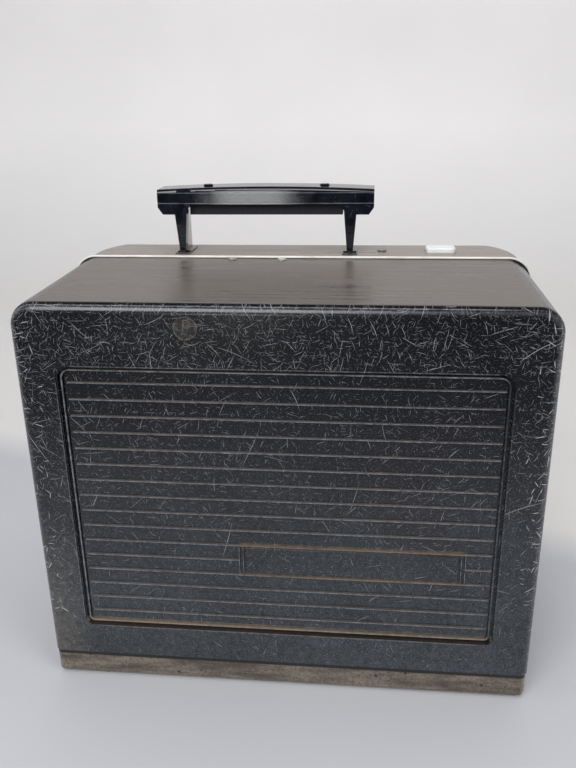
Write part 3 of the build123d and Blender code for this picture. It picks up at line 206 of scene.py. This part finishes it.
# %% Case: patterns
case_finish, tree, shader, coords = new_material("scratched moulded ABS")
spot = coords["Object"]
axes = add_node(tree, "ShaderNodeSeparateXYZ", {0: spot}).outputs
x, y, z = axes
is_side, is_above, is_edge = facing(tree, coords["Normal"])
flat = flat_axes(tree, axes, is_side, is_above)
cloud = add_node(tree, "ShaderNodeTexNoise", {"Vector": spot, "Scale": 22.0, "Detail": 5.0})
rub = add_node(tree, "ShaderNodeTexNoise",
               {"Vector": spot, "Scale": 260.0, "Detail": 4.0, "Roughness": 0.7})
drawn_out = add_node(tree, "ShaderNodeMapping", {"Vector": spot, "Scale": (12, 260, 12)})
streak = add_node(tree, "ShaderNodeTexNoise", {"Vector": drawn_out, "Scale": 1.0, "Detail": 5.0})
patch = mask(tree, (cloud, 0.38, 0.62, 0.65, 1.0))
worn = mask(tree, (rub, 0.35, 0.7, 0.15, 0.75))
print("case patterns", len(tree.nodes), "nodes")

# %% [markdown]
# Years of rubbing left the face covered in fine pale scratches, most on the left and along its top,
# fewer inside the panel and few low down. Eight layers go from 2 mm to 32 mm long, and two broader
# ones are knocks at the left and right edges. On the top they hardly show.

# %% Case: scratches
panel_left, panel_right, panel_top = -0.135, 0.135, 0.228
soft = 0.0015
low_z, high_z = 0.03, 0.2
scratch_layers = [  # length in mm, width in mm, share of the cells, strength
    (2.3, 0.11, 0.55, 0.5), (3.2, 0.12, 0.65, 0.6), (4.4, 0.12, 0.7, 0.75), (6.5, 0.13, 0.7, 0.8),
    (9.0, 0.14, 0.65, 0.85), (13.0, 0.15, 0.55, 0.9), (19.0, 0.16, 0.4, 0.9), (32.0, 0.2, 0.2, 1.0)]
knock_layers = [(5.0, 0.32, 41.3), (8.0, 0.4, 57.1)]  # length in mm, width in mm, shift

outside_panel = mask(tree, (x, panel_left - soft, panel_left + soft, 1.0, 0.45),
                     (x, panel_right - soft, panel_right + soft, 0.45, 0.7),
                     (z, panel_top - soft, panel_top + soft, 0.45, 1.0), join="MAXIMUM")
rubbed = mask(tree, outside_panel, patch, (z, low_z, high_z, 0.12, 1.0))
marks = []
for number, (length_mm, width_mm, often, strength) in enumerate(scratch_layers):
    layer = scratches(tree, flat, length_mm, width_mm, mask(tree, rubbed, often), 3.7 * number)
    marks.append(mask(tree, layer, strength))
knocked = mask(tree, mask(tree, (x, -0.143, -0.158, 0.0, 0.8), (x, 0.143, 0.158, 0.0, 0.5),
                          join="MAXIMUM"), patch, (z, 0.045, 0.07))
for length_mm, width_mm, shift in knock_layers:
    marks.append(scratches(tree, flat, length_mm, width_mm, knocked, shift))
marks = mask(tree, mask(tree, *marks, join="MAXIMUM"), (is_above, 0.0, 1.0, 0.85, 0.12))
print("case with scratches", len(tree.nodes), "nodes")

# %% [markdown]
# Over the dark plastic the colour grows paler and bluer towards the bottom, with dust specks of 1 mm,
# and brown grime low on the left edge. The top has brown streaks, and behind the trim it has a painted
# sheen, paler where it mirrors the backdrop at a grazing angle. The tops of the ribs and all rounded
# edges are rubbed grey; at the panel's right end that grey is painted weaker, as painted shade.

# %% Case: film, grime and wear
rib_top_y = -0.0970
dust = add_node(tree, "ShaderNodeTexNoise", {"Vector": spot, "Scale": 1100.0, "Detail": 2.0})
on_rib = add_node(tree, "ShaderNodeMath", {0: y, 1: rib_top_y, 2: 0.0003}, operation="COMPARE")
tint = lay_over(tree, "#06070a", "#0b0c10", patch)
tint = lay_over(tree, tint, "#69727a", (z, high_z, low_z, 0.0, 0.28), patch,
                (rub, 0.3, 0.65, 0.3, 1.0))
tint = lay_over(tree, tint, "#8d9296", (dust, 0.56, 0.76, 0.0, 0.42),
                (is_above, 0.0, 1.0, 1.0, 0.1), (z, 0.06, 0.235, 1.0, 0.35))
tint = lay_over(tree, tint, "#7a7264", (x, -0.13, -0.158), (z, 0.13, 0.03, 0.0, 0.45),
                (rub, 0.3, 0.65, 0.35, 1.0))
tint = lay_over(tree, tint, "#83776d", is_above, (streak, 0.35, 0.65, 0.25, 0.5))
# Behind the trim the top is painted paler: a painted sheen of the backdrop at a grazing angle.
tint = lay_over(tree, tint, "#a5988b", is_above, (y, 0.02, 0.03, 0.0, 0.4))
# At the panel's right end the grey of the rib and rim tops is painted weaker, as painted shade from
# the recess wall.
tint = lay_over(tree, tint, "#86868a", worn, on_rib, (x, 0.129, 0.1315, 1.0, 0.2))
tint = lay_over(tree, tint, "#85868a", worn, is_edge, (z, low_z, high_z, 0.15, 0.45))
print("case with film and wear", len(tree.nodes), "nodes")

# %% [markdown]
# Brown dust lies on the panel's bottom edge, and the groove in front of it is painted black, as
# painted shade. Brown lines mark the top and bottom edges of the badge place. The panel's rim has a
# thin pale line on all four sides, which stops short of its corners: wear, and a painted highlight of
# its lit edge, painted weaker on the right, where the recess wall casts painted shade.

# %% Case: panel
rim_half, badge_half, rim_end = 0.0005, 0.0016, 0.004
panel_rims = [  # along which axis the rim stands, where, and the other axis with its two ends
    (x, -0.1346, z, 0.0485, 0.2195), (x, 0.1351, z, 0.0485, 0.2195),
    (z, 0.0425, x, -0.127, 0.127), (z, 0.2281, x, -0.127, 0.127)]
badge_low_z, badge_top_z = 0.0863, 0.1081

in_panel = mask(tree, (y, -0.0988, -0.0984), (y, -0.093, -0.0934),
                (x, -0.137, -0.136), (x, 0.1375, 0.1365))
tint = lay_over(tree, tint, "#8a7864", in_panel, (z, 0.0474, 0.0466),
                (rub, 0.3, 0.7, 0.3, 1.0), (x, -0.14, 0.14, 1.0, 0.45))
# The groove below the panel's bottom edge is painted near black: painted shade.
tint = lay_over(tree, tint, "#100e0c", in_panel, (z, 0.0449, 0.0442, 0.0, 0.85))
rims = []
for across, place, along, low, high in panel_rims:
    at_rim = add_node(tree, "ShaderNodeMath", {0: across, 1: place, 2: rim_half},
                      operation="COMPARE")
    rims.append(mask(tree, at_rim, (along, low, low + rim_end), (along, high, high - rim_end)))
# The pale rim line is wear and a painted highlight of the rim's lit edge; on the right it is painted
# weaker, as painted shade.
tint = lay_over(tree, tint, "#85878c", mask(tree, *rims, join="MAXIMUM"), worn,
                (y, -0.0984, -0.0988, 0.0, 0.5), (x, 0.12, 0.13, 1.0, 0.35))
# Brown lines along the top and bottom edges of the badge place.
badge_rows = [add_node(tree, "ShaderNodeMath", {0: z, 1: row, 2: badge_half}, operation="COMPARE")
              for row in (badge_low_z, badge_top_z)]
tint = lay_over(tree, tint, "#6f5d49", mask(tree, *badge_rows, join="MAXIMUM"), in_panel,
                (x, -0.029, -0.027), (x, 0.116, 0.112), worn)
print("case with panel", len(tree.nodes), "nodes")

# %% [markdown]
# The mould was filled through a gate above the panel, which left a round mark 14 mm across, with a
# ring round it, and a small painted highlight sits just above its middle. Masks that follow the
# distance from its middle draw them.

# %% Case: gate mark
gate_x, gate_z, gate_r = -0.0536, 0.2528, 0.0068
from_gate = add_node(tree, "ShaderNodeCombineXYZ",
                     {"X": mask(tree, x, -gate_x, join="ADD"),
                      "Y": mask(tree, z, -gate_z, join="ADD")})
radius = add_node(tree, "ShaderNodeVectorMath", {0: from_gate}, operation="LENGTH")
from_painted_highlight = add_node(tree, "ShaderNodeVectorMath", {0: from_gate, 1: (0.001, 0.0022, 0)},
                    operation="DISTANCE")
radius, from_painted_highlight = radius.outputs["Value"], from_painted_highlight.outputs["Value"]
ring = add_node(tree, "ShaderNodeMath", {0: radius, 1: gate_r, 2: 0.0004}, operation="COMPARE")
ring_or_painted_highlight = mask(tree, ring, (from_painted_highlight, 0.0030, 0.0022, 0.0, 0.8), join="MAXIMUM")
in_front = mask(tree, (y, -0.09, -0.095))
tint = lay_over(tree, tint, "#3a3632", (radius, 0.0070, 0.0066), in_front, worn)
# The ring is part of the mark; the lighter spot just above its middle is a painted highlight.
tint = lay_over(tree, tint, "#665d56", ring_or_painted_highlight, in_front, worn)
print("case with gate mark", len(tree.nodes), "nodes")

# %% [markdown]
# Scratches lie over everything, pale and rougher than the plastic. They and a fine grain of 1 mm make
# the bump, which is almost nothing on the smooth top. ABS has an IOR near 1.5.

# %% Case: shader
tint = lay_over(tree, tint, "#c4c5c6", marks)
gloss = add_node(tree, "ShaderNodeMix", {"Factor": is_above,
                                         2: mask(tree, (cloud, 0.3, 0.7, 0.2, 0.27)),
                                         3: mask(tree, (streak, 0.3, 0.7, 0.24, 0.42))})
rough = add_node(tree, "ShaderNodeMath", {0: marks, 1: 0.3, 2: gloss}, operation="MULTIPLY_ADD")
grain = add_node(tree, "ShaderNodeTexNoise", {"Vector": spot, "Scale": 900.0, "Detail": 2.0})
height = add_node(tree, "ShaderNodeMath", {0: marks, 1: -1.0, 2: grain}, operation="MULTIPLY_ADD")
bump = add_node(tree, "ShaderNodeBump", {"Strength": mask(tree, (is_above, 0.0, 1.0, 0.08, 0.01)),
                                         "Distance": 0.0002, "Height": height})
set_inputs(tree, shader, {"Base Color": tint, "Roughness": rough, "Normal": bump, "IOR": 1.5})
finish_nodes("front_cover rear_housing handle_guides badge_plate", case_finish)
print("case finish", len(tree.nodes), "nodes")

# %% [markdown]
# The rest of the pieces have plainer finishes. Each is one function of its colour, its roughness and
# the size of its grain, so metals, mouldings and rubber differ by numbers and by how dirt lies.


# %% Plainer finishes
def surface(name, dark, light, rough, grain_mm, metallic=0.0, bump=0.1, stretch=(1, 1, 1)):
    """Two colours mixed by noise at a grain size, with roughness and bump from the same noise."""
    material, tree, shader, coords = new_material(name)
    spot = coords["Object"]
    scaled = add_node(tree, "ShaderNodeMapping", {"Vector": spot, "Scale": stretch})
    grain = add_node(tree, "ShaderNodeTexNoise",
                     {"Vector": scaled, "Scale": 1000 / grain_mm, "Detail": 4.0})
    cloud = add_node(tree, "ShaderNodeTexNoise", {"Vector": spot, "Scale": 30.0, "Detail": 3.0})
    tint = lay_over(tree, dark, light, (mask(tree, grain, cloud), 0.12, 0.42))
    spread = mask(tree, (grain, 0.0, 1.0, rough * 0.75, rough * 1.25))
    relief = add_node(tree, "ShaderNodeBump", {"Strength": bump, "Distance": 0.0003, "Height": grain})
    set_inputs(tree, shader, {"Base Color": tint, "Roughness": spread, "Normal": relief,
                              "Metallic": metallic})
    return material


# %% [markdown]
# Plated metal and turned brass are smooth and mirror the room, castings and zinc plate are duller.
# Screws, rivets and the latch have lost part of their metal shine to dirt, so their metallic is under
# 1. Anodised parts are near black and hardly shine. Enamel is coarse because it was sprayed to look
# hammered. Phenolic and polystyrene come out of the mould with a soft shine, nylon and varnished tape
# are duller and warm in colour, and rubber is the dullest.

# %% Finishes of the small and the hidden pieces
plain_finishes = [  # name, dark and light colour, roughness, grain in mm, other settings, CAD nodes
    ("blackened steel", "#101114", "#26272b", 0.3, 2.0, {"metallic": 0.6, "bump": 0.05},
     "handle_screws"),
    ("brushed aluminium", "#dcdedb", "#fafbf9", 0.5, 0.6, {"metallic": 0.35, "stretch": (0.1, 1, 1)},
     "latch_button"),
    ("nickel plated steel", "#8f8d88", "#cfcdc8", 0.2, 1.0, {"metallic": 1.0},
     "handle_strap carrier_rods"),
    ("vulcanised rubber", "#0e0e0e", "#1d1c1b", 0.7, 1.0, {"bump": 0.3},
     "rubber_feet tilt_foot drive_belt"),
    ("hammered grey enamel", "#3c3f42", "#5b5f62", 0.42, 2.5, {"bump": 0.4},
     "deck_plate lamp_house control_plate"),
    ("die-cast aluminium", "#8b8c8d", "#b4b5b5", 0.5, 1.2, {"metallic": 1.0, "bump": 0.3},
     "gate_block lens_carrier feed_arm bearing_blocks"),
    ("black anodised aluminium", "#0d0d0e", "#1b1b1d", 0.4, 0.8, {"bump": 0.15},
     "lens_barrel shutter transformer_core"),
    ("turned brass", "#9b7b3b", "#c9a75a", 0.3, 0.8, {"metallic": 1.0}, "shaft_bushes"),
    ("moulded nylon", "#b9b4a3", "#d8d4c6", 0.45, 1.5, {},
     "upper_worm_wheel lower_worm_wheel takeup_worm_wheel upper_sprocket lower_sprocket lamp_socket"),
    ("moulded polystyrene", "#50565c", "#6d747b", 0.35, 1.5, {}, "takeup_reel"),
    ("varnished paper tape", "#7a5526", "#a67c40", 0.4, 1.5, {}, "transformer_coil"),
    ("moulded phenolic", "#141414", "#232323", 0.38, 1.2, {},
     "tilt_lock_knob focus_knob selector_knob speed_knob framing_knob rocker_switch fan_wheel"
     " fan_scroll power_inlet guide_shoes"),
    ("bright plated rivet", "#8f8b84", "#f4f1ea", 0.35, 0.8, {"metallic": 0.5, "bump": 0.3},
     "cover_tongue"),
    ("zinc plated steel", "#77777a", "#a8a8a6", 0.36, 1.0, {"metallic": 1.0},
     "deck_angles housing_screws cover_strike latch_hook pressure_plate main_shaft claw"
     " takeup_spindle feed_spindle motor motor_cradle motor_shaft")]
for name, dark, light, rough, grain_mm, settings, names in plain_finishes:
    finish_nodes(names, surface(name, dark, light, rough, grain_mm, **settings))
print("materials", len(bpy.data.materials))

# %% [markdown]
# The handle is moulded ABS too, but hands kept it polished: it mirrors the room in sharp patches. The
# two long edges of its recess are worn pale, and it is dull behind the front, where no hand rubs.


# %% Handle plastic
def handle_plastic():
    """Polished black where it is held, dull behind, a pale line at the recess's two long edges."""
    edge_rows, edge_half, front_y = (0.3044, 0.3115), 0.0004, (0.0405, 0.0402)
    behind_y, under_z = (0.0466, 0.0469), (0.3048, 0.3042)
    material, tree, shader, coords = new_material("hand-polished moulded ABS")
    spot = coords["Object"]
    axes = add_node(tree, "ShaderNodeSeparateXYZ", {0: spot}).outputs
    _, y, z = axes
    is_side, is_above, _ = facing(tree, coords["Normal"])
    flat = flat_axes(tree, axes, is_side, is_above)
    smear = add_node(tree, "ShaderNodeTexNoise",
                     {"Vector": spot, "Scale": 90.0, "Detail": 5.0, "Roughness": 0.6})
    marks = mask(tree, scratches(tree, flat, 3.0, 0.12, 0.3, 11.0),
                 scratches(tree, flat, 7.0, 0.14, 0.3, 23.0), join="MAXIMUM")
    edges = [add_node(tree, "ShaderNodeMath", {0: z, 1: row, 2: edge_half}, operation="COMPARE")
             for row in edge_rows]
    tint = lay_over(tree, "#07080e", "#11131d", (smear, 0.35, 0.65))
    tint = lay_over(tree, tint, "#7c7f86", mask(tree, *edges, join="MAXIMUM"), (y, *front_y),
                    (smear, 0.35, 0.6, 0.2, 0.6))
    tint = lay_over(tree, tint, "#9a9ba0", marks, (smear, 0.4, 0.6, 0.1, 0.5))
    dull = mask(tree, (y, *behind_y), (z, *under_z))
    gloss = mask(tree, (smear, 0.3, 0.7, 0.05, 0.12))
    rough = add_node(tree, "ShaderNodeMath", {0: dull, 1: 0.55, 2: gloss}, operation="MULTIPLY_ADD")
    relief = add_node(tree, "ShaderNodeBump", {"Strength": 0.05, "Distance": 0.0003, "Height": smear})
    set_inputs(tree, shader, {"Base Color": tint, "Roughness": rough, "Normal": relief, "IOR": 1.5})
    return material


finish_nodes("handle_grip", handle_plastic())
print("handle finished")

# %% [markdown]
# The trim is a rolled aluminium strip whose rounded outer edge catches the light all the way round.
# Below that edge, down to the joint with the cover, it is painted dark: painted shade and dirt in the
# joint, so its colour follows the depth below that edge. The strip is bent round the two top corners,
# so the depth is measured outwards from the middle of the nearer bend, and beyond the bend straight
# across the strip.


# %% Trim metal
def trim_metal():
    """Bright rolled aluminium, browner behind, painted dark as shade and dirt under its rounded
    outline.
    """
    corner_x, corner_z, reach = 0.14619, 0.25329, 0.02
    material, tree, shader, coords = new_material("rolled aluminium strip")
    spot = coords["Object"]
    x, y, z = add_node(tree, "ShaderNodeSeparateXYZ", {0: spot}).outputs
    aside = add_node(tree, "ShaderNodeMath", {0: x}, operation="ABSOLUTE")
    from_corner = add_node(tree, "ShaderNodeCombineXYZ", {
        "X": mask(tree, (aside, corner_x, corner_x + reach, 0.0, reach)),
        "Y": mask(tree, (z, corner_z, corner_z + reach, 0.0, reach))})
    out = add_node(tree, "ShaderNodeVectorMath", {0: from_corner}, operation="LENGTH")
    drawn_out = add_node(tree, "ShaderNodeMapping", {"Vector": spot, "Scale": (60, 900, 60)})
    grain = add_node(tree, "ShaderNodeTexNoise", {"Vector": drawn_out, "Scale": 1.0, "Detail": 4.0})
    tint = lay_over(tree, "#e9e5dc", "#fffdf8", (grain, 0.35, 0.65))
    tint = lay_over(tree, tint, "#9b9186", (y, 0.0241, 0.0248), (grain, 0.3, 0.7))
    # Under the rounded outline the strip is painted dark: painted shade, with dirt in the joint.
    tint = lay_over(tree, tint, "#25221f", (out.outputs["Value"], 0.0158, 0.0153))
    spread = mask(tree, (grain, 0.3, 0.7, 0.25, 0.45))
    relief = add_node(tree, "ShaderNodeBump", {"Strength": 0.05, "Distance": 0.0002, "Height": grain})
    set_inputs(tree, shader, {"Base Color": tint, "Roughness": spread, "Normal": relief,
                              "Metallic": 0.35})
    return material


finish_nodes("trim_band", trim_metal())
print("trim finished")

# %% [markdown]
# The base is a painted steel tray, and its grey-brown paint has had the worst of it: pale specks where
# it was knocked, dark stains that run along it, and worn rounded edges. Chips and specks are cells of
# 4 mm, of which one in ten is marked. Where it goes in under the cover it is painted black, as the
# painted shadow of the gap under the cover's edge.


# %% Base paint
def base_paint():
    """Satin paint: stains stretched along x, dark chips and pale specks as small cells, worn edges."""
    rare, shade_under_cover_z = (0.9, 0.92), (0.0164, 0.0172)
    material, tree, shader, coords = new_material("worn paint on sheet steel")
    spot = coords["Object"]
    _, _, z = add_node(tree, "ShaderNodeSeparateXYZ", {0: spot}).outputs
    _, _, is_edge = facing(tree, coords["Normal"])
    drawn_out = add_node(tree, "ShaderNodeMapping", {"Vector": spot, "Scale": (30, 60, 160)})
    stain = add_node(tree, "ShaderNodeTexNoise",
                     {"Vector": drawn_out, "Scale": 1.0, "Detail": 6.0, "Roughness": 0.65})
    fine = add_node(tree, "ShaderNodeTexNoise", {"Vector": spot, "Scale": 700.0, "Detail": 3.0})
    cells = add_node(tree, "ShaderNodeTexVoronoi", {"Vector": spot, "Scale": 260.0}).outputs
    chances = add_node(tree, "ShaderNodeSeparateColor", {0: cells["Color"]}).outputs
    tint = lay_over(tree, "#4c443c", "#786e63", (stain, 0.38, 0.6))
    tint = lay_over(tree, tint, "#3a342d", (fine, 0.42, 0.7, 0.0, 0.75))
    tint = lay_over(tree, tint, "#211d1a", (cells["Distance"], 0.3, 0.22), (chances[0], *rare))
    tint = lay_over(tree, tint, "#c3bfb6", (cells["Distance"], 0.2, 0.14), (chances[1], *rare))
    tint = lay_over(tree, tint, "#9a958c", is_edge, (fine, 0.3, 0.6, 0.0, 0.6))
    # The tray's top under the cover's edge is painted black: a painted shadow of the gap there.
    tint = lay_over(tree, tint, "#0e0c0a", (z, *shade_under_cover_z, 0.0, 0.95))
    spread = mask(tree, (stain, 0.3, 0.7, 0.35, 0.6))
    relief = add_node(tree, "ShaderNodeBump", {"Strength": 0.2, "Distance": 0.0002, "Height": fine})
    set_inputs(tree, shader, {"Base Color": tint, "Roughness": spread, "Normal": relief})
    return material


finish_nodes("base_tray", base_paint())
print("base finished")

# %% [markdown]
# Glass needs its own finish: clear, with the faint purple of a lens coating and an IOR of 1.52. The
# lamp is glass too, with a milky reflector, so it is less clear.


# %% Glass
def glass(name, tint, clear, rough):
    """Clear glass with faint smears in its colour and its roughness."""
    material, tree, shader, coords = new_material(name)
    smear = add_node(tree, "ShaderNodeTexNoise",
                     {"Vector": coords["Object"], "Scale": 120.0, "Detail": 3.0})
    set_inputs(tree, shader, {
        "Base Color": lay_over(tree, tint, "#ffffff", smear.outputs[0]),
        "Roughness": mask(tree, (smear, 0.0, 1.0, rough, rough + 0.08)),
        "Transmission Weight": clear, "IOR": 1.52})
    return material


finish_nodes("front_lens rear_lens", glass("coated lens glass", "#d9d0f0", 1.0, 0.0))
finish_nodes("lamp", glass("pressed lamp glass", "#e8e8ea", 0.35, 0.1))
print("all nodes finished", all(n.data.materials for n in nodes.values()))

# %% [markdown]
# The case stands on a plain pale floor that curves up into a backdrop. One sheet does both: its
# profile runs flat, turns through a quarter circle and climbs.


# %% Floor and backdrop
def sweep_sheet(name, reach, front, turn_y, turn_r, high):
    """A profile of (y, z) points carried along x: flat, then a quarter circle, then straight up."""
    angle = np.linspace(0, math.pi / 2, 24)
    y = np.concatenate([[front], turn_y + turn_r * np.sin(angle), [turn_y + turn_r]])
    z = np.concatenate([[0.0], turn_r - turn_r * np.cos(angle), [high]])
    x = np.array([-reach, reach])
    points = np.stack([np.repeat(x, len(y)), np.tile(y, 2), np.tile(z, 2)], axis=1)
    i = np.arange(len(y) - 1)
    faces = np.stack([i, i + len(y), i + len(y) + 1, i + 1], axis=1)
    mesh = bpy.data.meshes.new(name)
    mesh.from_pydata(points.tolist(), [], faces.tolist())
    mesh.shade_smooth()
    sheet = bpy.data.objects.new(name, mesh)
    scene.collection.objects.link(sheet)
    return sheet


backdrop = sweep_sheet("backdrop", reach=3.0, front=-2.5, turn_y=0.9, turn_r=0.5, high=1.8)
print("backdrop points", len(backdrop.data.vertices))

# %% [markdown]
# The photograph's background is lighter from a slanting line close behind the case. A low backdrop
# there would hide the case from behind, so the floor is painted paler from that line on instead. The
# room behind the camera was darker than the background, so what glossy plastic sees of the floor in
# front is darker too.

# %% Backdrop paint
line_slant, line_y = 0.29, (0.13, 0.19)
pale, tree, shader, coords = new_material("matt pale paint")
across, depth, rise = add_node(tree, "ShaderNodeSeparateXYZ", {0: coords["Object"]}).outputs
mottle = add_node(tree, "ShaderNodeTexNoise", {"Vector": coords["Object"], "Scale": 3.0})
behind = add_node(tree, "ShaderNodeMath", {0: across, 1: line_slant, 2: depth},
                  operation="MULTIPLY_ADD")
ray = add_node(tree, "ShaderNodeLightPath").outputs
paint = lay_over(tree, "#b7b8bc", "#d8d6d3", (behind, *line_y))
paint = lay_over(tree, paint, "#f4f1ee", (rise, 0.0, 0.3))
paint = lay_over(tree, paint, "#cccbc9", (mottle, 0.3, 0.7, 0.0, 0.15))
paint = lay_over(tree, paint, "#1d1e22", ray["Is Glossy Ray"], (depth, -0.25, -0.75, 0.0, 0.92))
set_inputs(tree, shader, {"Base Color": paint, "Roughness": 0.8})
backdrop.data.materials.append(pale)
print("backdrop painted")

# %% [markdown]
# The photograph is lit by daylight from above and a little from the left. A large soft lamp overhead
# and weaker ones on both sides of the camera stand in for that. A small bright window is there for
# the polished handle to mirror, and the overhead and fill lamps are kept out of reflections.


# %% Lamps
def lamp_panel(name, place, target, width, height, power):
    """A rectangular area lamp that looks at a point."""
    light = bpy.data.lights.new(name, "AREA")
    light.shape = "RECTANGLE"
    light.size, light.size_y = width, height
    light.energy = power
    panel = bpy.data.objects.new(name, light)
    scene.collection.objects.link(panel)
    aim = (Vector(target) - Vector(place)).to_track_quat("-Z", "Y")
    panel.matrix_world = Matrix.Translation(place) @ aim.to_matrix().to_4x4()
    return panel


overhead = lamp_panel("overhead", (-0.2, 0.1, 2.2), (0, 0, 0.1), 2.4, 2.4, power=30)
front = lamp_panel("front", (-0.45, -1.35, 1.2), (0, 0, 0.15), 1.1, 0.9, power=22)
fill = lamp_panel("fill", (1.1, -0.9, 0.9), (0.25, 0.25, 0.1), 0.8, 0.8, power=10)
window = lamp_panel("window", (-0.265, -1.5, 0.12), (-0.02, 0.04, 0.31), 0.19, 0.3, power=1.2)
overhead.visible_glossy = fill.visible_glossy = False
print("lamps", [panel.name for panel in (overhead, front, fill, window)])

# %% [markdown]
# The world is pale to the camera, and to the object a dim blue-grey room, a little lighter on the
# backdrop's side and darker overhead. The Standard view shows a colour about as it is written.

# %% World
world = bpy.data.worlds.new("pale room")
scene.world = world
world.use_nodes = True
tree = world.node_tree
towards = add_node(tree, "ShaderNodeTexCoord").outputs["Generated"]
_, backwards, upwards = add_node(tree, "ShaderNodeSeparateXYZ", {0: towards}).outputs
ray = add_node(tree, "ShaderNodeLightPath").outputs
room = lay_over(tree, "#6a7080", "#8d8f93", (backwards, -0.3, 0.5))
room = lay_over(tree, room, "#55575c", (upwards, 0.5, 0.9))
room = lay_over(tree, room, "#dddcdb", ray["Is Camera Ray"])
set_inputs(tree, tree.nodes["Background"], {"Color": room})
scene.view_settings.view_transform = "Standard"
print("world set")
